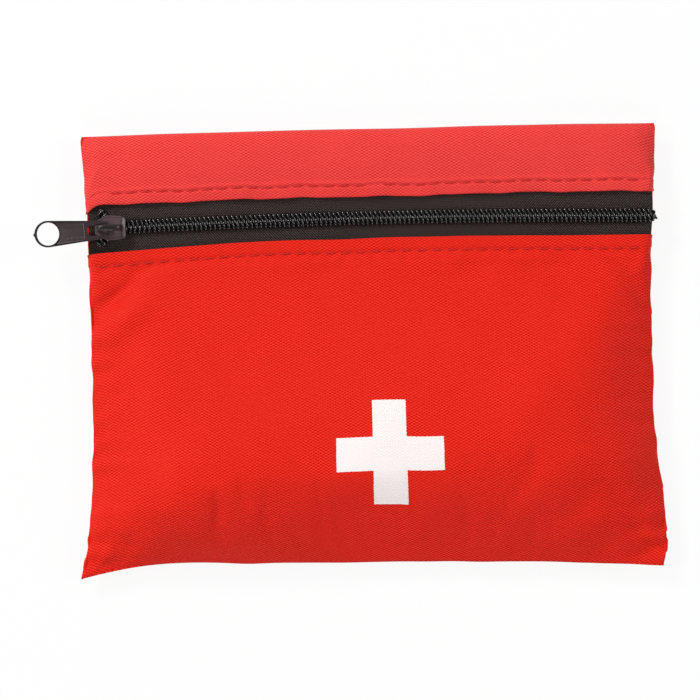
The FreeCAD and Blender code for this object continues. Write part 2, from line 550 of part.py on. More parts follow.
def add_pull_tab(doc):
    """Pull tab: a tapering plate that turns on its end bar, with an eye for the bridge and a ring."""
    pivot = "Place.slider_rest - Size.pivot_place"
    body = add_body(doc, "pull_tab", (pivot, "Size.zip_offset", "Place.pivot_level"))

    sketch = add_sketch(body, "pull_outline", "XY_Plane")
    bar_end = number(sketch, "Size.pull_thick / 2")
    neck = number(sketch, "Size.pull_neck / 2")
    ring_place = number(sketch, "-Place.ring_place")
    ring_radius = number(sketch, "Place.ring_radius")
    ring = Part.Circle(Vector(ring_place, 0, 0), Vector(0, 0, 1), ring_radius)
    corners = [
        Vector(bar_end, neck, 0), Vector(ring_place, ring_radius, 0),
        Vector(ring_place, -ring_radius, 0), Vector(bar_end, -neck, 0),
    ]
    upper = sketch.addGeometry(Part.LineSegment(corners[0], corners[1]))
    round_end = sketch.addGeometry(Part.ArcOfCircle(ring, math.pi / 2, 3 * math.pi / 2))
    lower = sketch.addGeometry(Part.LineSegment(corners[2], corners[3]))
    end = sketch.addGeometry(Part.LineSegment(corners[3], corners[0]))
    sketch.addConstraint(Sketcher.Constraint("Coincident", upper, 2, round_end, 1))
    sketch.addConstraint(Sketcher.Constraint("Coincident", round_end, 2, lower, 1))
    sketch.addConstraint(Sketcher.Constraint("Coincident", lower, 2, end, 1))
    sketch.addConstraint(Sketcher.Constraint("Coincident", end, 2, upper, 1))
    hold_point(sketch, round_end, 3, ("-Place.ring_place", "0"))
    hold_point(sketch, round_end, 1, ("-Place.ring_place", "Place.ring_radius"))
    sketch.addConstraint(Sketcher.Constraint("Vertical", round_end, 1, round_end, 2))
    hold_point(sketch, end, 1, ("Size.pull_thick / 2", "-Size.pull_neck / 2"))
    hold_point(sketch, end, 2, ("Size.pull_thick / 2", "Size.pull_neck / 2"))
    plate = add_feature(body, "Pad", "pull_plate", sketch, "Size.pull_thick", symmetric=True)

    sketch = add_sketch(body, "pull_ring_bore", "XY_Plane")
    draw_circle(sketch, ("-Place.ring_place", "0"), "Size.ring_bore / 2")
    add_feature(body, "Pocket", "pull_ring", sketch, "2 * Size.pull_thick", symmetric=True)

    sketch = add_sketch(body, "pull_eye_outline", "XY_Plane")
    eye_half = "(Size.bridge_width / 2 + Size.eye_play)"
    eye = rectangle("-Place.eye_end", "-Size.pull_thick / 2", f"-{eye_half}", eye_half)
    draw_polygon(sketch, eye)
    pocket = add_feature(body, "Pocket", "pull_eye", sketch, "2 * Size.pull_thick", symmetric=True)
    corners = [(number(sketch, x), number(sketch, y)) for x, y in eye if x == "-Place.eye_end"]
    edges = upright_edges(pocket.Shape, corners)
    add_dress_up(body, "Fillet", "pull_eye_corners", pocket, edges, "Size.eye_round")

    for name, face in (("upper", 1), ("lower", -1)):
        sketch = add_sketch(body, f"pull_grip_{name}_outline", "XY_Plane", f"{face} * Size.pull_thick / 2")
        draw_polygon(sketch, [
            ("-Place.grip_start", "-Place.grip_near"), ("-Place.grip_start", "Place.grip_near"),
            ("-Place.grip_end", "Place.grip_far"), ("-Place.grip_end", "-Place.grip_far"),
        ])
        add_feature(body, "Pocket", f"pull_grip_{name}", sketch, "Size.grip_depth", away=face < 0)
    return body


def add_packet(doc, name, place, width, height, thick, seal):
    """Sealed packet: a thin crimped edge round a pillow with sloping shoulders."""
    body = add_body(doc, name, place)
    sketch = add_sketch(body, f"{name}_edge", "XY_Plane", f"{thick} / 2")
    draw_polygon(sketch, rectangle("0", width, "0", height))
    add_feature(body, "Pad", f"{name}_seal", sketch, "Size.seal_thick", symmetric=True)
    sketch = add_sketch(body, f"{name}_pillow_edge", "XY_Plane", f"{thick} / 2")
    draw_polygon(sketch, rectangle(seal, f"{width} - {seal}", seal, f"{height} - {seal}"))
    pillow = add_feature(body, "Pad", f"{name}_pillow", sketch, thick, symmetric=True)
    edges = level_edges(pillow.Shape, [0.0, number(sketch, thick)])
    slope = f"Size.packet_slope * ({thick} - Size.seal_thick) / 2"
    add_dress_up(body, "Chamfer", f"{name}_shoulders", pillow, edges, slope)
    return body


def add_roll(doc, name, plane, place, diameter, bore, width):
    """Rolled strip: a ring standing on one of the body's origin planes."""
    body = add_body(doc, name, place)
    sketch = add_sketch(body, f"{name}_rings", plane)
    draw_circle(sketch, ("0", "0"), f"{diameter} / 2")
    draw_circle(sketch, ("0", "0"), f"{bore} / 2")
    add_feature(body, "Pad", f"{name}_ring", sketch, width)
    return body


def add_spool(doc):
    """Plastic spool of the adhesive tape: a tube with a lip round the inside of each end."""
    body = add_body(doc, "tape_spool", ("Size.roll_place", "-Size.roll_below", "Place.floor_inside"))
    sketch = add_sketch(body, "spool_profile", "XZ_Plane")
    outer = "Size.spool_diameter / 2"
    inner = f"({outer} - Size.spool_wall)"
    lip = f"({inner} - Size.spool_lip)"
    draw_polygon(sketch, [
        (lip, "0"), (outer, "0"), (outer, "Size.roll_width"), (lip, "Size.roll_width"),
        (lip, "Size.roll_width - Size.spool_lip"), (inner, "Size.roll_width - Size.spool_lip"),
        (inner, "Size.spool_lip"), (lip, "Size.spool_lip"),
    ])
    turned = body.newObject("PartDesign::Revolution", "spool_turned")
    turned.Profile = sketch
    turned.ReferenceAxis = (sketch, ["V_Axis"])
    turned.Angle = 360
    return body


def add_dressings(doc):
    """Everything that the pouch carries, each lying on the back panel or on the piece below it."""
    pieces = []
    for index in range(int(number(doc.Size, "gauze_count"))):
        level = f"Place.floor_inside + {index} * Place.gauze_step"
        pieces.append(add_packet(
            doc, f"gauze_packet_{index + 1}", ("Place.gauze_left", "Place.gauze_bottom", level),
            "Size.gauze_side", "Size.gauze_side", "Size.gauze_thick", "Size.gauze_seal"))
    for index in range(int(number(doc.Size, "wipe_count"))):
        level = f"Place.floor_inside + {index} * Place.wipe_step"
        pieces.append(add_packet(
            doc, f"wipe_sachet_{index + 1}", ("Place.wipe_left", "Place.wipe_bottom", level),
            "Size.wipe_width", "Size.wipe_height", "Size.wipe_thick", "Size.wipe_seal"))
    for index in range(int(number(doc.Size, "plaster_count"))):
        level = f"Place.gauze_top_level + {index} * Place.plaster_step"
        corner = ("Size.plaster_right - Size.plaster_length", "Size.plaster_top - Size.plaster_width", level)
        pieces.append(add_packet(
            doc, f"plaster_{index + 1}", corner,
            "Size.plaster_length", "Size.plaster_width", "Size.plaster_thick", "Size.plaster_seal"))
    pieces.append(add_packet(
        doc, "glove_packet", ("Place.glove_left", "Place.glove_bottom", "Place.floor_inside"),
        "Size.glove_width", "Size.glove_height", "Size.glove_thick", "Size.glove_seal"))
    bandage_level = "Place.floor_inside + Size.bandage_diameter / 2"
    bandage_place = ("-Size.bandage_left", "Place.bandage_line", bandage_level)
    pieces.append(add_roll(
        doc, "bandage_roll", "YZ_Plane", bandage_place,
        "Size.bandage_diameter", "Size.bandage_bore", "Size.bandage_length"))
    pieces.append(add_roll(
        doc, "adhesive_tape", "XY_Plane", ("Size.roll_place", "-Size.roll_below", "Place.floor_inside"),
        "Size.roll_diameter", "(Size.spool_diameter + 2 * Size.spool_fit)", "Size.roll_width"))
    pieces.append(add_spool(doc))
    return pieces


def check_document(doc, pieces):
    """Stop at any failed object or any sub-part that isn't one valid solid."""
    failed = [feature.Name for feature in doc.Objects if {"Invalid", "Error"} & set(feature.State)]
    if failed:
        raise RuntimeError(f"features failed to compute: {failed}")
    for piece in pieces:
        if piece.Shape.isNull() or not piece.Shape.isValid() or len(piece.Shape.Solids) != 1:
            raise RuntimeError(f"{piece.Label} isn't one valid solid")


def build():
    """Model the pouch and write one STEP file for each sub-part."""
    doc = FreeCAD.newDocument("FirstAidPouch")
    size_sheet = add_sheet(doc, "Size", SIZES)
    formulas = [(alias, f"={formula}", meaning) for alias, formula, meaning in PLACES]
    place_sheet = add_sheet(doc, "Place", formulas)
    doc.recompute()
    size = read_sheets((size_sheet, SIZES), (place_sheet, PLACES))

    pieces = add_fabric(doc, size)
    pieces.append(add_zipper_tape(doc, "zipper_tape_lower", -1))
    pieces.append(add_zipper_tape(doc, "zipper_tape_upper", 1))
    pieces.append(add_zipper_coil(doc, size, "zipper_coil_lower", -1, size.coil_pitch))
    pieces.append(add_zipper_coil(doc, size, "zipper_coil_upper", 1, size.coil_pitch / 2))
    pieces.append(add_slider(doc))
    pieces.append(add_pull_tab(doc))
    pieces += add_dressings(doc)
    doc.recompute()
    check_document(doc, pieces)

    os.makedirs("parts", exist_ok=True)
    for piece in pieces:
        piece.Shape.exportStep(os.path.join("parts", f"{piece.Label}.step"))


build()
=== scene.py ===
import math

import bmesh
import bpy
import numpy as np
from mathutils import Matrix, Vector
from mathutils.bvhtree import BVHTree
from mathutils.geometry import convex_hull_2d


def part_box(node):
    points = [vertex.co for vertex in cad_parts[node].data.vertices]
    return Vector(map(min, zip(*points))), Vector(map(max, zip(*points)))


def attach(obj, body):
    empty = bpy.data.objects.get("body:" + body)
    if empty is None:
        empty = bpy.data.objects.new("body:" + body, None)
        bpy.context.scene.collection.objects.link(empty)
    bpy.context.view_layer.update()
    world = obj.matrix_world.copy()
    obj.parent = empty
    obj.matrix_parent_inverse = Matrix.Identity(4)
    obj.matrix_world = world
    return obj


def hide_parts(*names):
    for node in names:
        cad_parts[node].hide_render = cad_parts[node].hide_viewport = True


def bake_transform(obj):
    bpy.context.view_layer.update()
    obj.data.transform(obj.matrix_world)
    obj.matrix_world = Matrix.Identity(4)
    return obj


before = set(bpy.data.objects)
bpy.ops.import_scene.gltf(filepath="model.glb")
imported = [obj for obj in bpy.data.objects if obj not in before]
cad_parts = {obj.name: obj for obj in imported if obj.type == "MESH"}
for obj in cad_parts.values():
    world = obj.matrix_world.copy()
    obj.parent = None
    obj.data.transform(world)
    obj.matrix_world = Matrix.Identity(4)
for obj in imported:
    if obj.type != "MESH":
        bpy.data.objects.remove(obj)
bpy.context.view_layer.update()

# ----------------------------------
# Back panel: red polyester oxford cloth, cut a little wider than the filling needs.
# It lies flat on the ground and turns up to the side seams, the bottom seam and the top fold,
# where it runs on as the top strip.


def add_piece(name, data, *materials):
    """Put a mesh with its materials, a curve, a lamp or a camera in the scene."""
    made = bpy.data.objects.new(name, data)
    bpy.context.scene.collection.objects.link(made)
    for material in materials:
        data.materials.append(material)
    return made


def quads(down, across):
    """Faces of a grid of points, each as four point numbers."""
    index = np.arange(down * across).reshape(down, across)
    return np.stack([index[:-1, :-1], index[:-1, 1:], index[1:, 1:], index[1:, :-1]], -1).reshape(-1, 4)


def smooth_mesh(name, points, faces, flat=None):
    """Smooth-shaded mesh; the places of its points on the flat cut are its UV map, in metres."""
    mesh = bpy.data.meshes.new(name)
    mesh.from_pydata(points.tolist(), [], faces)
    if flat is not None:
        layer = mesh.uv_layers.new(name="cloth")
        corners = np.empty(len(mesh.loops), np.int32)
        mesh.loops.foreach_get("vertex_index", corners)
        layer.data.foreach_set("uv", flat[corners].astype(np.float32).ravel())
    mesh.polygons.foreach_set("use_smooth", np.ones(len(mesh.polygons), bool))
    mesh.update()
    return mesh


def cloth_piece(name, material, rows, across, along, thickness, offset=-1.0, turned=False):
    """Cloth of real thickness from rows of points and their places across and along the flat cut."""
    flat = np.stack(np.broadcast_arrays(across, along), -1)
    if turned:
        rows, flat = rows[:, ::-1], flat[:, ::-1]
    faces = quads(*rows.shape[:2]).tolist()
    piece = add_piece(name, smooth_mesh(name, rows.reshape(-1, 3), faces, flat.reshape(-1, 2)))
    solid = piece.modifiers.new("thickness", "SOLIDIFY")
    solid.thickness, solid.offset, solid.use_even_offset = thickness, offset, False
    graph = bpy.context.evaluated_depsgraph_get()
    done = bpy.data.meshes.new_from_object(piece.evaluated_get(graph), depsgraph=graph)
    done.name = name
    done.materials.append(material)
    piece.modifiers.clear()
    piece.data = done
    return piece


half_wide, half_high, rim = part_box("back_panel")[1]


def within(value):
    """Value kept between 0 and 1."""
    return np.clip(value, 0, 1)


def ease(place):
    """Smooth step from 0 to 1."""
    place = within(place)
    return place * place * (3 - 2 * place)


def wobble(place, seed, length, reach):
    """Soft irregular waviness of hand-guided cloth, within plus or minus reach."""
    total = 0
    for turn in range(4):
        phase = math.sin(seed * 12.9898 + turn * 78.233) * 43.7
        total = total + np.sin(place * (math.tau / length) * (0.61 + 0.37 * turn) + phase) / (1 + turn)
    return total * reach / 2.1


def side_place(side, y):
    """How far a side seam stands from the middle: drawn in by the filling, out at the corners."""
    upper = within((y - 0.012) / 0.0475)
    if side < 0:
        place = 0.0755 + 0.0017 * upper ** 2 + 0.0043 * within((0.012 - y) / 0.0715) ** 4.5
    else:
        place = 0.0763 + 0.0023 * upper ** 1.3 + 0.0025 * ease((-0.016 - y) / 0.034)
        place = place - 0.0008 * within((-y - 0.0545) / 0.005) ** 2
    place = place - 0.0004 * within((y - 0.0585) / 0.001) ** 2
    calm = 1 - within(np.abs(y) / half_high) ** 8
    return place + calm * (wobble(y, 3 + side, 0.0090, 0.00024) + wobble(y, 7 + side, 0.030, 0.00016))


def across_place(share, y):
    """Place across the pouch at a share of the way from its middle to a side seam."""
    return share * np.where(share < 0, side_place(-1, y), side_place(1, y))


def bottom_place(share):
    """Height of the bottom seam: an ear at the left corner, a gentle fall to the right one."""
    left, right = within((-0.58 - share) / 0.42), within((share + 0.58) / 1.58)
    place = -0.0560 - 0.0038 * left ** 2.4 - 0.0006 * ease((share + 0.65) / 0.25)
    place = place - 0.0013 * right - 0.0021 * right ** 4
    return place + wobble(share * half_wide, 5, 0.021, 0.00014)


def top_place(share):
    """Height of the top fold, a little wavy."""
    return 0.0600 + 0.0003 * (1 - share ** 2) + wobble(share * half_wide, 9, 0.050, 0.00016)


def spread_rows(*stretches):
    """Row places from stretches of (start, end, count) that follow each other."""
    rows = [np.linspace(start, end, count, endpoint=False) for start, end, count in stretches]
    return np.concatenate(rows + [[stretches[-1][1]]])


columns = np.concatenate([
    -np.cos(np.linspace(0, math.pi / 3, 34, endpoint=False)) ** 0.8,
    np.linspace(-0.5 ** 0.8, 0.5 ** 0.8, 150, endpoint=False),
    np.cos(np.linspace(math.pi / 3, 0, 35)) ** 0.8,
])


def seam_depth(x, y):
    """Distance of a point of the pouch from its nearer side seam."""
    return np.where(x < 0, x + side_place(-1, y), side_place(1, y) - x)


def side_pucker(x, y):
    """Short creases that run in from the side seams, pulled by the filling."""
    depth = seam_depth(x, y)
    start = np.where(x < 0, 11.0, 17.0)
    ripple = np.sin(y * math.tau / 0.0094 + start + 1.7 * np.sin(y * math.tau / 0.031 + start))
    ripple = ripple + 0.5 * np.sin(y * math.tau / 0.0057 + 2 * start)
    return 0.00030 * ripple * np.exp(-(depth / 0.0055)) * within(depth / 0.0006)


share, high = np.meshgrid(columns[::2], spread_rows((-1.0, -0.78, 14), (-0.78, 0.80, 60), (0.80, 1.0, 14)))
low, top = bottom_place(share), top_place(share)
y = np.where(high < 0, low * -high, top * high)
x = across_place(share, y)
depth = np.minimum(seam_depth(x, y), np.minimum(y - low, top - y))
turn = within(1 - depth / 0.012)
rise = rim * (1 - np.sqrt(within(1 - turn ** 2))) * 0.55 + rim * 0.45 * turn ** 3
z = np.maximum(rise + side_pucker(x, y) * 0.6 * within(depth / 0.003), 0.0)
rows = np.stack([x, y, z], -1)


class Wire:
    """Output of a shader node. A sum done on it becomes a Math node of the same tree."""

    def __init__(self, socket):
        self.socket, self.tree = socket, socket.id_data

    def maths(self, operation, *others):
        made = node(self.tree, "Math", operation=operation)
        for socket, value in zip(made.inputs, (self, *others)):
            fill(socket, value)
        return Wire(made.outputs[0])

    def __add__(self, other):
        return self.maths("ADD", other)

    def __sub__(self, other):
        return self.maths("SUBTRACT", other)

    def __mul__(self, other):
        return self.maths("MULTIPLY", other)

    def __truediv__(self, other):
        return self.maths("DIVIDE", other)

    def __pow__(self, other):
        return self.maths("POWER", other)


def fill(socket, value):
    """Link an input to another node's output, or give it a plain value."""
    if isinstance(value, Wire):
        socket.id_data.links.new(value.socket, socket)
    else:
        socket.default_value = value


def node(tree, kind, **values):
    """Shader node. Small-letter keys are settings; the others are inputs, by name or as I0, I1."""
    made = tree.nodes.new(f"ShaderNode{kind}")
    for key, value in values.items():
        if key[0].islower():
            setattr(made, key, value)
        else:
            fill(made.inputs[int(key[1:]) if key[1:].isdigit() else key.replace("_", " ")], value)
    return made


def noise(place, scale, detail, roughness=0.5):
    """Cloudy noise from 0 to 1."""
    made = node(place.tree, "TexNoise", Vector=place, Scale=scale, Detail=detail, Roughness=roughness)
    return Wire(made.outputs[0])


def axes(place):
    """The three parts of a place: across, up and out."""
    return [Wire(part) for part in node(place.tree, "SeparateXYZ", I0=place).outputs]


def clamped(value, least=0.0):
    """Value kept between a least one and 1."""
    return Wire(node(value.tree, "Clamp", Value=value, Min=least).outputs[0])


def mixed(share, low, high):
    """Colour part of the way from one to another."""
    return Wire(node(share.tree, "Mix", data_type="RGBA", I0=share, I6=low, I7=high).outputs[2])


def new_group(name, inputs, outputs):
    """Empty shader group with named inputs (name, kind, value) and outputs (name, kind)."""
    group = bpy.data.node_groups.new(name, "ShaderNodeTree")
    for label, kind, value in inputs:
        socket = group.interface.new_socket(name=label, in_out="INPUT", socket_type=f"NodeSocket{kind}")
        if value is not None:
            socket.default_value = value
    for label, kind in outputs:
        group.interface.new_socket(name=label, in_out="OUTPUT", socket_type=f"NodeSocket{kind}")
    given = {socket.name: Wire(socket) for socket in group.nodes.new("NodeGroupInput").outputs}
    return group, given, group.nodes.new("NodeGroupOutput").inputs


def oxford_weave():
    """Plain weave of flat paired yarns: low domes, warp and weft on top in turn."""
    group, given, out = new_group(
        "oxford_weave",
        [("Cloth", "Vector", None), ("Across", "Float", 0.00069), ("Up", "Float", 0.000385),
         ("Unevenness", "Float", 0.25)],
        [("Height", "Float"), ("Warp", "Float"), ("Slub", "Float")])
    place = given["Cloth"]
    drift = (noise(place, 520.0, 2.0) - 0.5) * given["Unevenness"] * 6.0
    across, up = [(part / given[size] * math.pi + drift).maths("SINE")
                  for part, size in zip(axes(place), ("Across", "Up"))]
    # Painted sheen: cloudy patches fade the weave, flattening its bump and its painted shade, to stand for a
    # soft sheen haze.
    sheen_haze_fade = clamped(noise(place, 42.0, 3.0) * 3.0 - 0.65, 0.30)
    crossing = across * up * sheen_haze_fade
    warp = crossing * 0.5 + 0.5
    dome = crossing.maths("ABSOLUTE") ** 0.5
    fill(out["Height"], warp * 0.6 + dome * 0.4)
    fill(out["Warp"], warp)
    fill(out["Slub"], noise(place, 1700.0, 2.0))
    return group


def cloth_tone():
    """Slow, faint cloudiness of a dyed cloth's colour."""
    group, given, out = new_group(
        "cloth_tone",
        [("Cloth", "Vector", None), ("Colour", "Color", (0.8, 0.02, 0.01, 1)), ("Change", "Float", 0.2)],
        [("Colour", "Color")])
    change = (noise(given["Cloth"], 38.0, 3.0, 0.55) - 0.5) * given["Change"] + 1.0
    scaled = node(group, "VectorMath", operation="SCALE", I0=given["Colour"], I3=change)
    fill(out["Colour"], Wire(scaled.outputs[0]))
    return group


weave_group, tone_group = oxford_weave(), cloth_tone()


def grouped(group, **values):
    """Outputs of a shared group, placed in a material with its own values."""
    made = node(values["Cloth"].tree, "Group", node_tree=group, **values)
    return {socket.name: Wire(socket) for socket in made.outputs}


def new_material(name, cut=True):
    """New material, and the place its pattern follows: the flat cut, or the solid piece."""
    made = bpy.data.materials.new(name)
    made.use_nodes = True
    if cut:
        return made, Wire(node(made.node_tree, "UVMap", uv_map="cloth").outputs[0])
    return made, Wire(node(made.node_tree, "TexCoord").outputs["Object"])


def dress(made, colour, roughness, height=None, strength=0.5, distance=0.0001, **more):
    """Fill in a material's surface: colour, roughness, a bump, and other inputs by name."""
    if height:
        bump = node(made.node_tree, "Bump", Strength=strength, Distance=distance, Height=height)
        more["Normal"] = Wire(bump.outputs[0])
    inputs = made.node_tree.nodes["Principled BSDF"].inputs
    for key, value in dict(more, Base_Color=colour, Roughness=roughness).items():
        fill(inputs[key.replace("_", " ")], value)
    return made


def red_cloth(name, yarn_colour_painted_lit=(0.90, 0.034, 0.016, 1), yarn_colour_painted_shade=(0.58, 0.0004, 0.0002, 1), printed=False):
    """Red polyester oxford: matt yarn domes painted lighter as a highlight, painted shade between them, a
    slight sheen.
    """
    made, place = new_material(name)
    weave = grouped(weave_group, Cloth=place, Unevenness=0.20)
    top = grouped(tone_group, Cloth=place, Colour=yarn_colour_painted_lit, Change=0.22)["Colour"]
    # Painted highlight and shade: the warp-over yarn takes the lit colour, the weft-over yarn the shaded one.
    colour = mixed(clamped(weave["Warp"] * 1.7 - 0.62 + weave["Slub"] * 0.6), yarn_colour_painted_shade, top)
    if printed:
        colour = cross_print(place, weave, colour)
    return dress(made, colour, weave["Height"] * -0.14 + 0.68, weave["Height"], 0.7, 0.00016,
                 Specular_IOR_Level=0.08, Sheen_Weight=0.06, Sheen_Roughness=0.45,
                 Sheen_Tint=(1.0, 0.60, 0.55, 1))


back = cloth_piece("back_cloth", red_cloth("red_oxford"), rows, share * half_wide, y, 0.00042, turned=True)
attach(back, "pouch")
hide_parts("back_panel")

# ----------------------------------
# Front panel: the same red cloth over the filling, with a white cross printed low on it.
# Its upper edge is folded under and sewn to the zipper tape; its sides and bottom are sewn to
# the back panel, so the filling pulls short puckers in from those seams.

hem_level, crest_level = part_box("top_strip")[1].z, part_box("front_panel")[1].z
stitch_pitch, front_stitch_line = 0.0041, 0.0032


def lower_hem_place(x):
    """Height of the front panel's folded edge: sags at the left end, bows up in the middle."""
    share = x / half_wide
    return 0.0302 - 0.0010 * share ** 2 - 0.0018 * within(-share) ** 2.2 + wobble(x, 23, 0.034, 0.00020)


def panel_places(share, edge, hem_place, part):
    """Places of a panel's points, part of the way from its outer edge to its hem."""
    y = edge
    for _ in range(3):
        y = edge + (hem_place(across_place(share, y)) - edge) * part
    return across_place(share, y), y


def hem_detail(distance, x, stitch_line):
    """What a hem adds in height: double cloth, a sewn groove and a pucker at each stitch."""
    double = 0.00045 * within((0.0042 - distance) / 0.0008)
    away = np.abs(distance - stitch_line)
    groove = -0.00034 * np.exp(-(away / 0.00050) ** 2)
    pull = 0.5 + 0.5 * np.cos(math.tau * x / stitch_pitch)
    return double + groove * (0.55 + 0.75 * pull) + 0.00020 * (pull - 0.5) * np.exp(-(away / 0.0016))


def hand_folds(x, y):
    """Dents and two ridges left by handling: place, length, width, lean in radians, height."""
    total = 0
    for across, up, long, short, lean, height in (
            (-0.0695, 0.0150, 0.0075, 0.0028, 0.62, -0.00190),
            (-0.0655, 0.0098, 0.0090, 0.0034, 0.62, 0.00114),
            (0.0290, 0.0215, 0.0070, 0.0030, 0.15, -0.000855),
            (0.0470, 0.0205, 0.0110, 0.0030, -0.08, -0.000855),
            (-0.0120, 0.0215, 0.0100, 0.0030, 0.10, -0.000475),
            (0.0715, -0.0065, 0.0060, 0.0040, 0.90, -0.00114),
            (0.0650, -0.0300, 0.0190, 0.0060, 0.19, 0.00095),
            (-0.0660, -0.0480, 0.0100, 0.0040, 0.95, -0.00133)):
        along = (x - across) * math.cos(lean) + (y - up) * math.sin(lean)
        beside = (y - up) * math.cos(lean) - (x - across) * math.sin(lean)
        total = total + height * np.exp(-((along / long) ** 2 + (beside / short) ** 2))
    return total


def corner_folds(x, y, depth, low):
    """Tension folds that fan out of the two bottom corners towards the filling."""
    total = 0
    for side in (-1, 1):
        across, above = half_wide - side * x, y + half_high
        angle, distance = np.arctan2(above, across), np.hypot(across, above)
        fan = np.cos((angle - 0.75) * 9.0 + side) * np.exp(-((angle - 0.80) / 0.42) ** 2)
        total = total + 0.00075 * fan * np.exp(-((distance - 0.020) / 0.017) ** 2)
    return total * within((y - low) / 0.004) * within(depth / 0.004)


def let_settle(x, y, z):
    """Let the panel, cut a little too large, settle over the filling, held along seams and hem."""
    down, over = (np.unique(np.linspace(0, size - 1, count).round().astype(int))
                  for size, count in zip(x.shape, (66, 110)))
    start = np.stack([part[np.ix_(down, over)] for part in (x, y, z)], -1)
    enlarged, farthest, last_frame = 10, 0.0010, 20
    mesh = bpy.data.meshes.new("settling")
    mesh.from_pydata((start.reshape(-1, 3) * enlarged).tolist(), [], quads(*start.shape[:2]).tolist())
    sheet = add_piece("settling", mesh)
    row, column = np.arange(len(down))[:, None], np.arange(len(over))[None]
    from_hem, from_side = 4 * (len(down) - 6 - row), np.minimum(column, len(over) - 1 - column)
    held = sheet.vertex_groups.new(name="held")
    for corner, free in enumerate(np.minimum(np.minimum(row, from_hem), from_side).reshape(-1)):
        if free < 3:
            held.add([corner], 1.0 if free < 1 else 0.6 if free < 2 else 0.25, "REPLACE")
    cloth = sheet.modifiers.new("cloth", "CLOTH")
    made = cloth.settings
    made.quality, made.mass, made.time_scale = 6, 0.25, 1.0
    made.tension_stiffness = made.compression_stiffness = 25.0
    made.shear_stiffness, made.bending_stiffness = 8.0, 0.6
    made.shrink_min = made.shrink_max = -0.012
    made.vertex_group_mass, made.pin_stiffness = "held", 1.0
    made.use_pressure, made.uniform_pressure_force = True, 4.0
    made.effector_weights.gravity = 0.0
    cloth.point_cache.frame_start, cloth.point_cache.frame_end = 1, last_frame
    for frame_number in range(1, last_frame + 1):
        bpy.context.scene.frame_set(frame_number)
    settled = np.empty(start.size)
    graph = bpy.context.evaluated_depsgraph_get()
    sheet.evaluated_get(graph).data.vertices.foreach_get("co", settled)
    bpy.data.objects.remove(sheet)
    bpy.context.scene.frame_set(1)
    moved = np.clip(settled.reshape(start.shape) / enlarged - start, -farthest, farthest)
    result = []
    for part, move in zip((x, y, z), np.moveaxis(moved, -1, 0)):
        move = np.array([np.interp(np.arange(x.shape[1]), over, line) for line in move])
        move = np.array([np.interp(np.arange(x.shape[0]), down, line) for line in move.T]).T
        for _ in range(4):
            near = np.pad(move, 1, mode="edge")
            move = (near[:-2, 1:-1] + near[2:, 1:-1] + near[1:-1, :-2] + near[1:-1, 2:]
                    + 2 * near[1:-1, 1:-1]) / 6
        result.append(part + move)
    return result


def fold_under(x, y, z, direction, depth_under):
    """Rows of a panel with its last one rolled round and back under itself."""
    rows, radius = [np.stack([x, y, z], -1)], 0.00042
    share = np.clip(columns, -0.997, 0.997)
    x, y, z = x[-1], y[-1], z[-1]
    for turn in np.linspace(0, math.pi, 8)[1:]:
        row = [x, y + direction * radius * math.sin(turn), z - radius * (1 - math.cos(turn))]
        rows.append([np.stack(row, -1)])
    for back_off in np.linspace(0, depth_under, 5)[1:]:
        under = y - direction * back_off
        rows.append([np.stack([across_place(share, under), under, z - 2 * radius], -1)])
    return np.concatenate(rows)


def cloth_run(rows):
    """Length of the cloth from its first row to each row."""
    step = np.linalg.norm(np.diff(rows, axis=0)[:, :, 1:], axis=-1)
    return np.vstack([np.zeros((1, rows.shape[1])), np.cumsum(step, 0)])


share, rise = np.meshgrid(columns, spread_rows((0.0, 0.10, 14), (0.10, 0.86, 96), (0.86, 1.0, 34)))
low = bottom_place(share)
x, y = panel_places(share, low, lower_hem_place, rise)
hem, depth = lower_hem_place(x), seam_depth(x, y)
crest, roll = -0.0325 + 0.0085 * share, 0.50
up, down = within((hem - y) / (hem - crest)), within((crest - y) / (crest - low))
above = hem_level + (crest_level - hem_level) * (0.5 - 0.5 * np.cos(math.pi * up))
below = rim + (crest_level - rim) * (1 - (np.hypot(down, roll) - roll) / (math.hypot(1, roll) - roll))
level = np.where(y > crest, above, below)
reach = np.where(y > crest, 0.0012 + 0.0400 * ease(up / 0.85), 0.0412 - 0.018 * down)
z = rim + (level - rim) * (1 - (1 - within(depth / reach)) ** 2.4)
soft = up * within(depth / 0.012) * within((y - low) / 0.010)
z += soft * (wobble(x + 0.6 * y, 31, 0.062, 0.00055) + wobble(x - 0.9 * y, 37, 0.035, 0.00022))
z += corner_folds(x, y, depth, low)
z += hand_folds(x, y)
z += side_pucker(x, y) * within((hem - y) / 0.006)
z += hem_detail(hem - y, x, front_stitch_line) * within(depth / 0.002)
x, y, z = let_settle(x, y, z)
rows = fold_under(x, y, z, 1, depth_under=0.0030)

cross_center, cross_span, cross_arm = (0.0046, -0.0258), 0.0291, 0.0091


def cross_print(place, weave, under):
    """White ink of a plain cross, pressed into the cloth: the weave still shows in it, with its painted
    shade.
    """
    fray = noise(place, 2400.0, 1.0) * 0.00034 - 0.00017
    off = [(part - middle).maths("ABSOLUTE") + fray for part, middle in zip(axes(place), cross_center)]
    bar, post = [off[long].maths("LESS_THAN", cross_span / 2) * off[short].maths("LESS_THAN", cross_arm / 2)
                 for long, short in ((0, 1), (1, 0))]
    # Painted shade: the ink is painted darker and pinker on the weft-over yarn.
    ink = mixed(weave["Warp"] * 0.5 + 0.50, (0.84, 0.68, 0.66, 1), (0.98, 0.945, 0.935, 1))
    return mixed(bar.maths("MAXIMUM", post), under, ink)


front = cloth_piece("front_cloth", red_cloth("red_oxford_printed", printed=True), rows,
                    columns * half_wide, cloth_run(rows) - half_high, 0.00040)
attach(front, "pouch")
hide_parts("front_panel")

# ----------------------------------
# Top strip: the end of the back panel, turned over the top fold and hemmed above the zipper.
# It is one cloth, cut into a left and a right half whose shading runs on across the cut.

strip_stitch_line = 0.0027


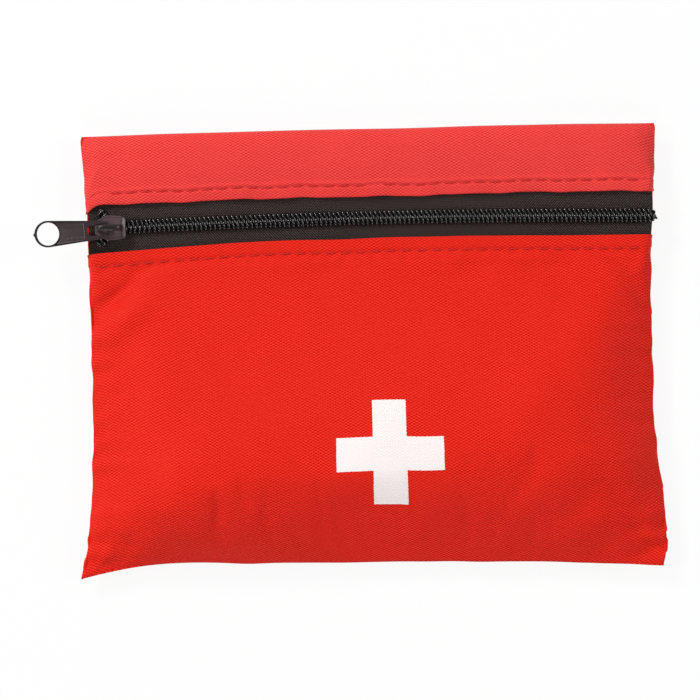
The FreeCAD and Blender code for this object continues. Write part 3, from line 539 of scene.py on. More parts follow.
def upper_hem_place(x):
    """Height of the top strip's folded edge: scalloped, turned down at the left seam."""
    share = x / half_wide
    edge = 0.0413 - 0.0004 * share + 0.0004 * (1 - share ** 2) + wobble(x, 41, 0.0125, 0.00024)
    edge = edge + 0.0005 * ease((x + 0.060) / 0.030) + 0.0005 * ease((x - 0.012) / 0.030)
    return edge - 0.0030 * np.exp(-((x + 0.0770) / 0.0027) ** 2)


share, fall = np.meshgrid(columns, spread_rows((0.0, 0.24, 12), (0.24, 0.62, 16), (0.62, 1.0, 34)))
top = top_place(share)
x, y = panel_places(share, top, upper_hem_place, fall)
hem, depth = upper_hem_place(x), seam_depth(x, y)
roll = within(1 - (top - y) / 0.0045)
level = rim + (hem_level + 0.0002 - rim) * np.sqrt(within(1 - roll ** 2))
reach = 0.0012 + 0.0050 * ease((y - hem - 0.004) / 0.008)
z = rim + (level - rim) * (1 - (1 - within(depth / reach)) ** 2.2)
puff = np.sin(math.pi * within((top - y) / (top - hem)))
z += 0.0010 * puff * within(depth / 0.014)
z += wobble(x + 0.4 * y, 43, 0.026, 0.00030) * puff * within(depth / 0.006)
z += 0.00016 * np.sin(x * math.tau / 0.0125) * np.exp(-((y - hem) / 0.006)) * within(depth / 0.004)
z += side_pucker(x, y) * 0.7
z += hem_detail(y - hem, x, strip_stitch_line) * within(depth / 0.002)
rows = fold_under(x, y, z, -1, depth_under=0.0028)
# The top strip's paler, pinker red is a painted sheen.
strip_cloth_painted_sheen = red_cloth("red_oxford_strip", (0.89, 0.084, 0.076, 1), (0.67, 0.014, 0.013, 1))
whole_strip = cloth_piece("top_strip_cloth", strip_cloth_painted_sheen, rows, columns * half_wide, half_high - cloth_run(rows),
                          0.00040, turned=True)


def open_with_mouth(piece):
    """Bake a piece's placement into its mesh."""
    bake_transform(piece)


def halves(whole):
    """Left and right half of a piece, with its shading kept across the cut."""
    made = []
    for left in (True, False):
        mesh = whole.data.copy()
        normals = np.empty(len(mesh.vertices) * 3, np.float32)
        mesh.vertex_normals.foreach_get("vector", normals)
        mesh.attributes.new("whole_normal", "FLOAT_VECTOR", "POINT").data.foreach_set("vector", normals)
        cutter = bmesh.new()
        cutter.from_mesh(mesh)
        away = [face for face in cutter.faces if (face.calc_center_median().x > 0) == left]
        bmesh.ops.delete(cutter, geom=away, context="FACES")
        cutter.to_mesh(mesh)
        cutter.free()
        kept = mesh.attributes["whole_normal"]
        normals = np.empty(len(mesh.vertices) * 3, np.float32)
        kept.data.foreach_get("vector", normals)
        mesh.attributes.remove(kept)
        mesh.normals_split_custom_set_from_vertices(normals.reshape(-1, 3).tolist())
        made.append(add_piece(f"{whole.name}_{'left' if left else 'right'}", mesh))
    bpy.data.objects.remove(whole)
    return made


strip_halves = halves(whole_strip)
for strip in strip_halves:
    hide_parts("top_strip")

# ----------------------------------
# Zipper tapes: black polyester twill ribbon sewn under both hems.
# The lower one stays with the pouch; the upper one is cut into left and right halves.

tape_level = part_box("zipper_tape_lower")[1].z
slider_low, slider_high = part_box("zipper_slider")
zip_line = (slider_low.y + slider_high.y) / 2
tape_reach, tape_end_reach = 0.0118, 0.0078


def chain_place(x):
    """Height of the closed chain: a slight bow, straight again where the slider rests."""
    return zip_line + 0.0010 * (1 - (x / 0.071) ** 2) * (abs(x) < 0.071)


def tape_rows(side, inner):
    """Rows of a tape from the chain to its edge under the hem, between the side seams."""
    rows = []
    for along in np.linspace(0, 1, 190):
        near = ease(1 - min(along, 1 - along) * 0.151 / 0.006)
        reach = tape_reach + (tape_end_reach - tape_reach) * near
        for share in np.linspace(0, 1, 15):
            level = zip_line + side * reach * share
            left, right = 0.0006 - side_place(-1, level), side_place(1, level) - 0.0001 - 0.0011 * share ** 4
            x = left + (right - left) * along
            start = chain_place(x) + side * inner
            wave = 0.00012 * math.sin(math.pi * share) * math.sin(x * 210 + side * 2 + 5 * share)
            rows.append((x, start + (zip_line + side * reach - start) * share, tape_level - 0.00004 + wave))
    return np.array(rows).reshape(190, 15, 3)[::-1]


def wave(turn):
    """Waves from 0 to 1 over a turning angle."""
    return turn.maths("SINE") * 0.5 + 0.5


def black_twill(name, lean):
    """Black polyester twill: fine ribs that lean one way, their tops painted a lighter brown as a painted
    highlight.
    """
    made, place = new_material(name)
    across, up, _ = axes(place)
    rib = wave((up * lean + across) * (math.tau / 0.00070) + noise(place, 900.0, 2.0) * 3.0)
    height = wave(up * (math.tau / 0.00045)) * 0.3 + rib * 0.7
    # Painted highlight: the highest parts of the ribs are painted a lighter brown.
    lit = height ** 1.6 * (noise(place, 2600.0, 1.0) ** 1.5 * 2.4)
    colour = mixed(lit, (0.0018, 0.0011, 0.0010, 1), (0.092, 0.066, 0.060, 1))
    return dress(made, colour, height * -0.2 + 0.78, height, 0.8, 0.00012, Specular_IOR_Level=0.15)


for name, side, inner in (("lower", -1, 0.00002), ("upper", 1, 0.00006)):
    rows = tape_rows(side, inner)
    twill = black_twill(f"black_twill_{name}", -0.9 * side)
    tape = cloth_piece(f"tape_{name}", twill, rows, rows[:, :, 0], rows[:, :, 1], 0.00044, turned=side > 0)
    for piece in halves(tape) if side > 0 else [tape]:
        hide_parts(f"zipper_tape_{name}")
        if side > 0:
            open_with_mouth(piece)
        else:
            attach(piece, "pouch")

# ----------------------------------
# Zipper coils: one black nylon monofilament each, wound into a flattened helix whose heads lock
# between those of the other coil. A cord runs inside each and is sewn down with it on the tape.

coil_low, coil_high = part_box("zipper_coil_lower")
coil_pitch, coil_length, end_loop, turn_steps = 0.00125, 0.1502, 0.0009, 16
heel, wire, cord_radius = 0.00212, 0.00031, 0.00033
spread_radius, spread_angle = 0.0050, math.radians(50)
bend_start = (slider_low.x + slider_high.x) / 2 + 0.0024


def tube_faces(count, sides):
    """Faces of a closed tube of rings, with both ends capped."""
    index = np.arange(count * sides).reshape(count, sides)
    after = np.roll(index, -1, axis=1)
    faces = np.stack([index[:-1], after[:-1], after[1:], index[1:]], -1).reshape(-1, 4).tolist()
    return faces + [index[0, ::-1].tolist(), index[-1].tolist()]


def unit_steps(path):
    """Direction of a path at each of its points."""
    ahead = np.gradient(path, axis=0)
    return ahead / (np.linalg.norm(ahead, axis=1, keepdims=True) + 1e-12)


def tube(path, radius, sides):
    """Points and faces of a round filament along a path."""
    path = np.asarray(path, float)
    ahead = unit_steps(path)
    normal = np.zeros_like(path)
    first = np.cross(ahead[0], [0.0, 0.0, 1.0])
    normal[0] = first / np.linalg.norm(first)
    for index in range(1, len(path)):
        carried = normal[index - 1] - ahead[index] * np.dot(normal[index - 1], ahead[index])
        normal[index] = carried / (np.linalg.norm(carried) + 1e-12)
    turn = np.linspace(0, math.tau, sides, endpoint=False)[None, :, None]
    ring = normal[:, None] * np.cos(turn) + np.cross(ahead, normal)[:, None] * np.sin(turn)
    return (path[:, None] + ring * radius).reshape(-1, 3), tube_faces(len(path), sides)


def join_tubes(name, tubes, *materials):
    """One piece from several filaments."""
    faces, start = [], 0
    for points, own_faces in tubes:
        faces += [[corner + start for corner in face] for face in own_faces]
        start += len(points)
    points = np.concatenate([points for points, _ in tubes])
    return add_piece(name, smooth_mesh(name, points, faces), *materials)


def chain_frame(side, travel):
    """Point on the meshing line after a travel from its right end, and the direction to the heel."""
    straight, radius = coil_high.x - bend_start, spread_radius - heel
    if travel <= straight:
        x = coil_high.x - travel
        return np.array([x, chain_place(x)]), np.array([0.0, side])
    turned = min((travel - straight) / radius, spread_angle)
    tail = travel - straight - turned * radius
    sine, cosine = math.sin(turned), math.cos(turned)
    point = np.array([bend_start - spread_radius * sine - tail * cosine,
                      zip_line + side * (spread_radius * (1 - cosine) + tail * sine)])
    return point, np.array([sine, side * cosine])


def coil_path(side, phase):
    """Line of a coil's filament: over the heads, back below, all turns leaning the same way."""
    reach, lock, lean = heel - wire, 0.00034, 0.36
    low, high = coil_low.z + wire, coil_high.z - wire
    points = []
    for step in range(int((coil_length + end_loop - phase) / coil_pitch * turn_steps)):
        angle = math.tau * step / turn_steps
        across = (reach - lock) / 2 + 0.5 * (reach + lock) * math.cos(angle)
        along = phase - end_loop + coil_pitch * (step / turn_steps)
        straight = ease((0.1375 - along) / 0.003) * ease((along + end_loop) / 0.0024)
        point, away = chain_frame(side, along + side * lean * straight * across)
        tight = 1 - 0.50 * math.exp(-((along + end_loop) / 0.0013) ** 2)
        spot = point + away * across * tight
        points.append((*spot, (low + high) / 2 - math.sin(angle) * (high - low) / 2))
    return np.array(points)


def cord_path(side):
    """Line of the cord that runs inside a coil."""
    points = []
    for travel in np.linspace(-0.0006, coil_length - 0.0012, 260):
        point, away = chain_frame(side, travel)
        points.append((*(point + away * 0.00075), (coil_low.z + coil_high.z) / 2))
    return np.array(points)


def black_nylon(name, gloss):
    """Black nylon: glossy filament, or with little gloss the soft cord inside it."""
    made, place = new_material(name, cut=False)
    grain = noise(place, 1500.0, 2.0)
    colour = mixed(grain, (0.0030, 0.0026, 0.0026, 1), (0.0110, 0.0095, 0.0095, 1))
    return dress(made, colour, grain * 0.06 + (1.06 - gloss), Specular_IOR_Level=gloss)


nylon, cord = black_nylon("black_nylon", 0.85), black_nylon("black_cord", 0.08)
for name, side, phase in (("lower", -1, 0.0), ("upper", 1, coil_pitch / 2)):
    for label in ("_left", "_right") if side > 0 else ("",):
        tubes = []
        for path, radius, sides in ((coil_path(side, phase), wire, 10), (cord_path(side), cord_radius, 8)):
            middle = int(np.argmax(path[:, 0] < 0.0))
            part = {"": path, "_left": path[middle - 1:], "_right": path[:middle]}[label]
            tubes.append(tube(part, radius, sides))
        coil = join_tubes(f"coil_{name}{label}", tubes, nylon, cord)
        faces = coil.data.polygons
        faces.foreach_set("material_index", (np.arange(len(faces)) >= len(tubes[0][1])).astype(np.int32))
        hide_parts(f"zipper_coil_{name}")
        if side > 0:
            open_with_mouth(coil)
        else:
            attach(coil, "pouch")

# ----------------------------------
# Stitching: dark red polyester thread in a straight lockstitch along both hems.
# Each stitch lies in the dimple that it pulls into the cloth and dives into the next hole.

thread_radius = 0.00012


def sewing_thread(name):
    """Dark red sewing thread: two plies whose twist shows as fine slanted lines."""
    made, place = new_material(name, cut=False)
    across, up, _ = axes(place)
    ply = wave((across + up * 1.5) * (math.tau / 0.00035))
    colour = mixed(ply, (0.44, 0.012, 0.010, 1), (0.74, 0.034, 0.028, 1))
    return dress(made, colour, 0.6, ply, 0.5, 0.00006, Specular_IOR_Level=0.3)


thread = sewing_thread("red_thread")


def stitch_row(name, cloth, hem_place, offset, start, end):
    """Short arched threads, one for each stitch, laid on a cloth beside its hem."""
    surface = BVHTree.FromObject(cloth, bpy.context.evaluated_depsgraph_get())
    tubes = []
    for index in range(int((end - start) / stitch_pitch)):
        middle = (math.floor(start / stitch_pitch) + index + 1.5) * stitch_pitch
        if middle + stitch_pitch / 2 > end:
            break
        path = []
        for share in np.linspace(-0.5, 0.5, 9):
            x = middle + share * stitch_pitch * 0.86
            y = float(hem_place(x)) + offset + thread_radius * share * 2
            hit = surface.ray_cast(Vector((x, y, 0.05)), Vector((0, 0, -1)))[0]
            lift = 0.00026 - 0.00045 * (abs(share) * 2) ** 3
            path.append((x, y, (hit.z if hit else hem_level) + lift))
        tubes.append(tube(path, thread_radius, 8))
    piece = join_tubes(name, tubes, thread)
    return piece


stitches = stitch_row("front_stitches", front, lower_hem_place, -front_stitch_line, -0.0755, 0.0765)
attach(stitches, "pouch")
for strip, label, start, end in zip(strip_halves, ("left", "right"), (-0.0738, 0.0), (0.0, 0.0762)):
    stitches = stitch_row(f"strip_stitches_{label}", strip, upper_hem_place, strip_stitch_line, start, end)
    open_with_mouth(stitches)
    open_with_mouth(strip)

# ----------------------------------
# Slider and pull tab: die-cast zinc with a thick near-black paint; raised edges are painted paler
# as a painted highlight and the plates carry a painted mauve-brown sheen. The slider's two plates
# ride over the coils and its bridge carries the tab.

pull_low, pull_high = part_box("pull_tab")
nose, rear, shoulder = slider_low.x, slider_high.x, slider_low.x + 0.0033
nose_half, shoulder_half, rear_half = 0.0017, (slider_high.y - slider_low.y) / 2, 0.00262
plate, crown_top = 0.0008, pull_low.z - 0.0003
crown_bottom = crown_top - plate
# Finishes: plain paint, thick paint, and a paler painted highlight.
plain, thick, painted_highlight = range(3)


def painted_zinc(name, low, high, roughness, grain):
    """Near-black paint over zinc: fine pimples, and sharp edges painted paler as a painted highlight."""
    made, place = new_material(name, cut=False)
    pimples = noise(place, 2600.0, 2.0)
    edge = Wire(node(place.tree, "NewGeometry").outputs["Pointiness"])
    colour = mixed(noise(place, 520.0, 3.0), (*low, 1), (*high, 1))
    # Painted highlight: sharp edges, found by their pointiness, are painted paler.
    colour = mixed(clamped((edge - 0.50) * 9.0), colour, (0.11, 0.085, 0.09, 1))
    return dress(made, colour, pimples * 0.30 + roughness, pimples, grain, 0.00007, Specular_IOR_Level=0.3)


def shrink(outline, inset):
    """Closed outline moved inward by an inset."""
    points = np.array(outline)
    after = np.roll(points, -1, 0)
    area = np.sum(points[:, 0] * after[:, 1] - after[:, 0] * points[:, 1])
    ahead = after - points
    ahead /= np.linalg.norm(ahead, axis=1, keepdims=True)
    normal = np.stack([-ahead[:, 1], ahead[:, 0]], -1) * math.copysign(1, area)
    bisector = normal + np.roll(normal, 1, 0)
    bisector /= np.maximum(np.sum(bisector * normal, 1, keepdims=True), 0.4)
    return points + bisector * inset


def flat_casting(outlines, low, high, edge, steps):
    """Plate with rounded edges between two heights, from its outline and those of its holes."""
    curve = bpy.data.curves.new("casting", "CURVE")
    curve.dimensions, curve.fill_mode = "2D", "BOTH"
    curve.bevel_depth, curve.bevel_resolution, curve.extrude = edge, steps, (high - low) / 2 - edge
    for index, outline in enumerate(outlines):
        inward = shrink(outline, -edge if index else edge)
        spline = curve.splines.new("POLY")
        spline.points.add(len(inward) - 1)
        for point, (x, y) in zip(spline.points, inward):
            point.co = (x, y, 0, 1)
        spline.use_cyclic_u = True
    holder = add_piece("casting", curve)
    graph = bpy.context.evaluated_depsgraph_get()
    mesh = bpy.data.meshes.new_from_object(holder.evaluated_get(graph))
    mesh.transform(Matrix.Translation((0, 0, (low + high) / 2)))
    bpy.data.objects.remove(holder)
    bpy.data.curves.remove(curve)
    return mesh


def cast_piece(name, paint, castings, bars=()):
    """One piece from flat castings and bars, each with its finish: plain, thick or painted highlight."""
    whole = bmesh.new()
    for mesh, finish in [(flat_casting(*sizes), finish) for *sizes, finish in castings] + list(bars):
        mesh.polygons.foreach_set("material_index", np.full(len(mesh.polygons), finish, np.int32))
        whole.from_mesh(mesh)
    bmesh.ops.remove_doubles(whole, verts=whole.verts, dist=0.000002)
    bmesh.ops.recalc_face_normals(whole, faces=whole.faces)
    mesh = bpy.data.meshes.new(name)
    whole.to_mesh(mesh)
    whole.free()
    mesh.polygons.foreach_set("use_smooth", np.ones(len(mesh.polygons), bool))
    mesh.set_sharp_from_angle(angle=math.radians(38))
    return add_piece(name, mesh, paint, thick_paint, edge_highlight_paint)


def bar(path, half_widths, half_heights, sides=20):
    """Bar along a path above the zipper, with its own width and height at each point."""
    turn = np.linspace(0, math.tau, sides, endpoint=False)
    cosine, sine = [np.copysign(np.abs(part) ** 0.85, part) for part in (np.cos(turn), np.sin(turn))]
    points = []
    for spot, along, wide, tall in zip(path, unit_steps(path), half_widths, half_heights):
        upward = np.array([-along[2], 0, along[0]])
        points.append(spot + np.array([0, 1, 0]) * cosine[:, None] * wide + upward * sine[:, None] * tall)
    mesh = bpy.data.meshes.new("bar")
    mesh.from_pydata(np.concatenate(points).tolist(), [], tube_faces(len(path), sides))
    return mesh


def rounded(half, radius, steps=6):
    """Outline with round corners, from one half as (place, distance from the zipper's line)."""
    corners = [np.array((x, zip_line + side * y))
               for side, row in ((-1, half), (1, half[::-1])) for x, y in row]
    points = []
    for index, corner in enumerate(corners):
        before, after = corners[index - 1], corners[(index + 1) % len(corners)]
        back_length, on_length = np.linalg.norm(before - corner), np.linalg.norm(after - corner)
        back, on = (before - corner) / back_length, (after - corner) / on_length
        reach = min(radius / math.tan(math.acos(float(back @ on)) / 2), 0.45 * back_length, 0.45 * on_length)
        start, end = corner + back * reach, corner + on * reach
        for share in np.linspace(0, 1, steps):
            points.append((1 - share) ** 2 * start + 2 * share * (1 - share) * corner + share ** 2 * end)
    return points


def shield(inset=0.0):
    """Outline of the slider's plates: narrow nose, wide shoulders, straight rear edge."""
    return rounded([(nose + inset, nose_half), (shoulder, shoulder_half - inset),
                    (rear - 0.0014, rear_half + 0.0005 - inset), (rear - inset, rear_half - inset)], 0.0006)


def flange(start, end, width=0.00042):
    """Outline of a low wall along one straight edge of a plate, inside it."""
    start, end = np.array(start), np.array(end)
    ahead = (end - start) / np.linalg.norm(end - start)
    inside = np.array([-ahead[1], ahead[0]]) * width
    if inside[1] * (zip_line - start[1]) < 0:
        inside = -inside
    return [start, end, end + inside, start + inside]


castings = [
    ([shield()], crown_bottom, crown_top - 0.00012, 0.00022, 3, plain),
    ([shield(), shield(0.00050)], crown_bottom + 0.0002, crown_top, 0.00018, 3, plain),
    ([shield()], slider_low.z, slider_low.z + plate, 0.00022, 3, plain),
]
for side in (-1, 1):
    front_end, widest, rear_end = [(x, zip_line + side * half) for x, half in (
        (nose + 0.0019, nose_half + 0.00095), (shoulder, shoulder_half), (rear - 0.0006, rear_half + 0.0001))]
    for wall in (flange(widest, rear_end), flange(front_end, widest)):
        castings.append(([wall], tape_level + 0.00025, crown_bottom + 0.0003, 0.00006, 1, plain))
post = [(nose + x, zip_line + y) for x, y in (
    (0.0006, -0.0002), (0.0022, -0.0006), (0.0042, 0.0), (0.0022, 0.0006), (0.0006, 0.0002))]
castings.append(([post], slider_low.z + 0.0003, crown_bottom + 0.0003, 0.00005, 1, plain))
# The rear lip is painted paler as a painted highlight along the slider's rear edge.
rear_lip = rounded([(rear - 0.0008, rear_half - 0.0001), (rear - 0.0001, rear_half - 0.0001)], 0.0002)
castings.append(([rear_lip], crown_top - 0.0003, crown_top + 0.00022, 0.00016, 3, painted_highlight))

# The bridge: place behind the nose, height, half width and half height, all in millimetres.
foot, arch = (crown_top - 0.0003) * 1000, slider_high.z * 1000
knots = np.array([
    (0.70, foot, 0.66, 0.50), (0.55, foot + 1.2, 0.68, 0.48), (0.80, arch - 1.0, 0.74, 0.46),
    (1.60, arch - 0.50, 0.80, 0.46), (3.30, arch - 0.46, 0.90, 0.46), (4.90, arch - 0.50, 0.90, 0.48),
    (6.30, arch - 0.90, 0.90, 0.54), (6.90, arch - 1.90, 0.90, 0.58), (7.00, foot, 0.90, 0.60)]) / 1000
spans = np.linspace(0, len(knots) - 1, 49)
values = np.array([np.interp(spans, range(len(knots)), column) for column in knots.T])
for line in values:
    line[1:-1] = np.convolve(np.pad(line, 3, mode="edge"), np.ones(7) / 7, "valid")[1:-1]
bridge = bar(np.stack([nose + values[0], np.full(len(spans), zip_line), values[1]], -1), values[2], values[3])

# The slider's plates: near-black paint with a mauve-brown sheen painted into its colour.
slider_paint_with_painted_sheen = painted_zinc("slider_paint_with_painted_sheen", (0.060, 0.034, 0.042), (0.130, 0.078, 0.094), 0.30, 0.25)
thick_paint = painted_zinc("thick_paint", (0.0030, 0.0022, 0.0024), (0.0120, 0.0080, 0.0090), 0.10, 0.08)
# Paler paint for a painted highlight on the slider's rear lip and at the pull tab's step.
edge_highlight_paint = painted_zinc("edge_highlight_paint", (0.140, 0.110, 0.115), (0.300, 0.260, 0.265), 0.25, 0.25)
slider = cast_piece("cast_slider", slider_paint_with_painted_sheen, castings, [(bridge, thick)])
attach(slider, "slider")
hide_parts("zipper_slider")

pull_pivot = pull_high.x - 0.00045
ring_outer, ring_hole, neck_half, eye_half = (pull_high.y - pull_low.y) / 2, 0.00310, 0.0024, 0.0016
ring_middle, eye_far, step = pull_low.x + ring_outer, pull_pivot - 0.0055, pull_pivot - 0.0068


def arc(center, radius_x, radius_y, start, end, count):
    """Points along part of an ellipse, in degrees."""
    return [(center + radius_x * math.cos(angle), zip_line + radius_y * math.sin(angle))
            for angle in np.radians(np.linspace(start, end, count))]


def pull_outline(inset=0.0):
    """Outline of the pull tab: its ring, two converging sides and a round end at the pivot."""
    end, half = pull_high.x - inset, neck_half - inset
    corners = [(end - 0.0017 + 0.0017 * math.cos(angle),
                zip_line + side * (half - 0.0015 + 0.0015 * math.sin(angle)))
               for side in (-1, 1) for angle in np.linspace(0, math.pi / 2, 10)]
    points = arc(ring_middle, ring_outer - inset, ring_outer - inset, 0, 355, 72) + corners
    return [points[index] for index in convex_hull_2d(points)]


def grip_outline(border=0.00042):
    """Outline of the sunk grip between the step beside the eye and the ring."""
    slope, meet = (ring_outer - neck_half) / (pull_pivot - ring_middle), 0.0019
    wide, narrow = [neck_half + slope * (pull_pivot - x) - border for x in (ring_middle + meet, step)]
    edge = math.degrees(math.atan2(wide, meet))
    bow = [(step + 0.00018 * math.cos(angle), zip_line + narrow * math.sin(angle))
           for angle in np.linspace(-1.45, 1.45, 9)]
    return bow + arc(ring_middle, ring_hole + 0.00036, wide / math.sin(math.radians(edge)), edge, -edge, 15)


low, high = pull_low.z, pull_high.z
hole = arc(ring_middle + 0.00010, ring_hole - 0.00010, ring_hole, 0, 354, 60)
eye = rounded([(eye_far, eye_half - 0.0003), (pull_pivot - 0.00045, eye_half)], 0.0009)
nub = rounded([(pull_low.x - 0.00028, 0.0004), (pull_low.x + 0.0004, 0.0005)], 0.0002)
pull_paint = painted_zinc("pull_paint", (0.0020, 0.0010, 0.0013), (0.034, 0.015, 0.019), 0.25, 1.4)
pull = cast_piece("cast_pull_tab", pull_paint, [
    ([pull_outline(0.0001), hole, eye], low + 0.00018, high - 0.00018, 0.00008, 1, plain),
    ([pull_outline(), hole, eye, grip_outline()], low, high, 0.00016, 3, plain),
    ([nub], low + 0.0002, high - 0.0002, 0.00008, 1, thick),
])
# Side faces at the step beside the eye take the painted highlight; the other sides and the grip's top take
# the thick paint.
for face in pull.data.polygons:
    if abs(face.center.z - high) < 0.00004 and face.center.x < step:
        face.material_index = thick
    elif abs(face.normal.z) < 0.93:
        at_step = abs(face.center.x - step) < 0.0004 and abs(face.center.y - zip_line) < 0.0020
        face.material_index = painted_highlight if at_step else thick
lean, middle = Matrix.Rotation(math.radians(3.2), 4, "Z"), Matrix.Translation((pull_pivot, zip_line, 0))
pull.data.transform(Matrix.Translation((0, -0.0004, 0)) @ middle @ lean @ middle.inverted())
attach(pull, "pull")
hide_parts("pull_tab")

# ----------------------------------
# Dressings: paper gauze packets, foil wipe sachets, wrapped plasters and a packet of gloves.
# Each is two webs of paper, foil or film, crimped together round what it holds.


def packet(name, cad_node, seal, material, seed):
    """Sealed packet in its CAD node's room: two webs that part inside a crimped edge."""
    low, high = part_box(cad_node)
    wide, tall, half = high.x - low.x, high.y - low.y, (high.z - low.z) / 2
    x, y = np.meshgrid(low.x + wide * np.linspace(0, 1, 61), low.y + tall * np.linspace(0, 1, 49))
    from_side = np.minimum(x - low.x, high.x - x)
    inside = np.minimum(from_side, np.minimum(y - low.y, high.y - y))
    swell = (1 - (1 - within((inside - seal) / (0.22 * min(wide, tall)))) ** 2.2) * 0.9
    crimp = 0.00005 * np.sin(np.where(from_side < seal, x, y) * math.tau / 0.0011) * within(1 - inside / seal)
    crease = wobble(x + 0.7 * y, seed, 0.021, 0.00009) + wobble(x - 1.3 * y, seed + 2, 0.013, 0.00005)
    middle, web, full, room = (low.z + high.z) / 2, 0.00012, swell * (half - 0.00014), half - 0.00013
    top = middle + web + np.clip(full + crimp + crease * swell, 0, room)
    bottom = middle - web - np.clip(full - crimp, 0, room)
    points = np.concatenate([np.stack([x, y, z], -1).reshape(-1, 3) for z in (top, bottom)])
    faces, index = quads(*x.shape), np.arange(x.size).reshape(x.shape)
    edge = np.concatenate([index[0, :-1], index[:-1, -1], index[-1, :0:-1], index[:0:-1, 0]])
    after = np.roll(edge, -1)
    walls = np.stack([edge, edge + x.size, after + x.size, after], -1)
    faces = np.concatenate([faces, faces[:, ::-1] + x.size, walls]).tolist()
    mesh = smooth_mesh(name, points, faces, points[:, :2] - np.array([x.min(), y.min()]))
    piece = add_piece(name, mesh, material)
    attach(piece, "pouch")
    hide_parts(cad_node)
    return piece


def web_material(name, light, dark, roughness, metallic, grain, stripe=None):
    """Paper, foil or film, on some with a band as (middle, half width, colour)."""
    made, place = new_material(name)
    fibre = noise(place, grain, 5.0, 0.65)
    wrinkles = node(place.tree, "TexVoronoi", feature="DISTANCE_TO_EDGE", Vector=place, Scale=170.0)
    colour = mixed(fibre, dark, light)
    if stripe:
        middle, half, ink = stripe
        colour = mixed((axes(place)[0] - middle).maths("ABSOLUTE").maths("LESS_THAN", half), colour, ink)
    height = fibre * 0.4 + clamped(Wire(wrinkles.outputs[0]) * 6.0)
    return dress(made, colour, fibre * 0.2 + (roughness - 0.1), height, Metallic=metallic)


paper = web_material("sealed_paper", (0.86, 0.85, 0.82, 1), (0.74, 0.73, 0.70, 1), 0.75, 0.0, 900.0,
                     (0.008, 0.0018, (0.10, 0.28, 0.55, 1)))
foil = web_material("sachet_foil", (0.78, 0.82, 0.87, 1), (0.60, 0.64, 0.70, 1), 0.32, 0.85, 260.0,
                    (0.021, 0.006, (0.08, 0.35, 0.62, 1)))
wrapper = web_material("plaster_paper", (0.88, 0.86, 0.82, 1), (0.78, 0.76, 0.72, 1), 0.65, 0.0, 700.0,
                       (0.033, 0.011, (0.78, 0.52, 0.36, 1)))
film = web_material("glove_film", (0.76, 0.83, 0.90, 1), (0.58, 0.68, 0.80, 1), 0.25, 0.0, 320.0)
for index in (1, 2):
    gauze = packet(f"gauze_pack_{index}", f"gauze_packet_{index}", 0.004, paper, 50 + index)
for index in (1, 2, 3):
    packet(f"wipe_{index}", f"wipe_sachet_{index}", 0.004, foil, 60 + index)
    packet(f"wrapped_plaster_{index}", f"plaster_{index}", 0.0025, wrapper, 70 + index)
packet("glove_pack", "glove_packet", 0.003, film, 80)

# ----------------------------------
# Rolled bandage: a strip of loose cotton gauze wound on itself.
# Its turns show at both ends, a little uneven.

band_low, band_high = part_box("bandage_roll")
turns, inner, outer = 6.5, 0.0016, (band_high.z - band_low.z) / 2 - 0.00012
angle = np.linspace(0, math.tau * turns, 340)
radius = inner + (outer - inner) * (angle / angle[-1])
profile = np.stack([radius * np.cos(angle), radius * np.sin(angle)], -1)
lengths = np.concatenate([[0], np.cumsum(np.linalg.norm(np.diff(profile, axis=0), axis=1))])
rows = np.zeros((24, len(profile), 3))
rows[:, :, 0] = np.linspace(band_low.x, band_high.x, len(rows))[:, None]
for end in (0, -1):
    rows[end, :, 0] += wobble(lengths, 91, 0.02, 0.0004)
rows[:, :, 0] = np.clip(rows[:, :, 0], band_low.x, band_high.x)
rows[:, :, 1] = (band_low.y + band_high.y) / 2 + profile[:, 0]
rows[:, :, 2] = (band_low.z + band_high.z) / 2 + profile[:, 1]
gauze, place = new_material("bandage_gauze")
weave = grouped(weave_group, Cloth=place, Across=0.0008, Up=0.0008, Unevenness=0.35)["Height"]
dress(gauze, mixed(weave, (0.62, 0.60, 0.54, 1), (0.92, 0.90, 0.84, 1)), 0.9, weave, 0.9, 0.0003)
bandage = cloth_piece("bandage", gauze, rows, rows[:, :, 0], lengths, 0.00022, offset=0.0)
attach(bandage, "pouch")
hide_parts("bandage_roll")

# ----------------------------------
# Adhesive tape on its spool: white cloth tape wound on a moulded plastic ring.
# The edges of its layers show as fine rings. Both are the CAD pieces with a finish.

wound_low, wound_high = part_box("adhesive_tape")
wound, place = new_material("wound_tape", cut=False)
across, up, _ = axes(place)
across, up = across - (wound_low.x + wound_high.x) / 2, up - (wound_low.y + wound_high.y) / 2
layers = wave((across ** 2.0 + up ** 2.0).maths("SQRT") * (math.tau / 0.0004))
dress(wound, mixed(layers, (0.62, 0.60, 0.56, 1), (0.88, 0.87, 0.84, 1)), 0.75, layers)
plastic, place = new_material("spool_plastic", cut=False)
haze = noise(place, 400.0, 3.0)
dress(plastic, mixed(haze, (0.80, 0.80, 0.79, 1), (0.90, 0.90, 0.89, 1)), haze * 0.15 + 0.35)
for name, material in (("adhesive_tape", wound), ("tape_spool", plastic)):
    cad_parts[name].data.materials.clear()
    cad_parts[name].data.materials.append(material)

# ----------------------------------
# Ground, light and camera: a white table under soft light from the upper left, seen from above.
# The table glows to the camera, so that it shows as plain white with only faint shadows.

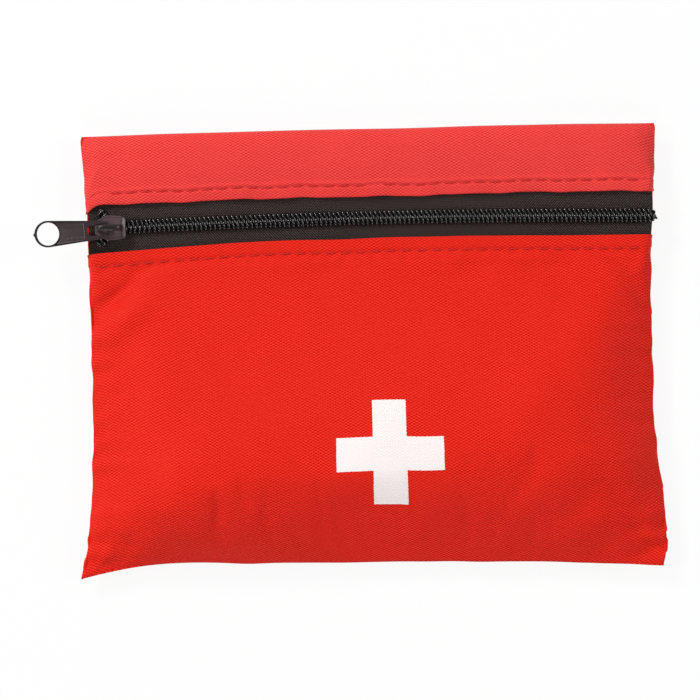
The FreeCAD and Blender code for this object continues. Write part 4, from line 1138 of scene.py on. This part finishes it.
ground = bpy.data.meshes.new("table")
ground.from_pydata([(x, y, -0.0002) for x, y in ((-3, -3), (3, -3), (3, 3), (-3, 3))], [], [(0, 1, 2, 3)])
white = bpy.data.materials.new("white_table")
white.use_nodes = True
tree = dress(white, (0.9, 0.9, 0.9, 1), 0.9).node_tree
rays = node(tree, "LightPath").outputs
seen = Wire(rays["Is Camera Ray"]).maths("MAXIMUM", Wire(rays["Is Glossy Ray"]))
seen = seen.maths("MAXIMUM", Wire(rays["Is Transmission Ray"]))
glow = node(tree, "Emission", Color=(1, 1, 1, 1), Strength=1.0)
shown = node(tree, "MixShader", I0=seen * 0.90, I1=Wire(tree.nodes["Principled BSDF"].outputs[0]),
             I2=Wire(glow.outputs[0]))
fill(tree.nodes["Material Output"].inputs["Surface"], Wire(shown.outputs[0]))
table = add_piece("table", ground, white)

world = bpy.data.worlds.new("room")
world.use_nodes = True
world.node_tree.nodes["Background"].inputs["Color"].default_value = (1, 1, 1, 1)
world.node_tree.nodes["Background"].inputs["Strength"].default_value = 0.18
bpy.context.scene.world = world


def soft_lamp(name, place, size, power):
    """Square soft lamp turned to the middle of the pouch."""
    light = bpy.data.lights.new(name, "AREA")
    light.size, light.energy = size, power
    lamp = add_piece(name, light)
    lamp.location = place
    lamp.rotation_euler = (-Vector(place)).to_track_quat("-Z", "Y").to_euler()


soft_lamp("window_light", (-0.95, 1.10, 1.00), 0.45, 23.0)
soft_lamp("left_light", (-1.30, 0.05, 1.15), 0.20, 5.0)
soft_lamp("side_fill", (1.40, 0.20, 1.00), 0.70, 10.0)
soft_lamp("near_fill", (-0.20, -1.40, 1.00), 0.70, 8.8)

view_width, distance = 0.189, 1.15
camera = add_piece("camera", bpy.data.cameras.new("camera"))
camera.data.sensor_width = 36.0
camera.data.lens = camera.data.sensor_width * distance / view_width
camera.data.clip_start = 0.05
camera.location = (-0.00553, 0.00046, 0.008 + distance)
camera.rotation_euler = (0, 0, math.radians(-1.4))
bpy.context.scene.camera = camera
bpy.context.scene.view_settings.view_transform = "Standard"
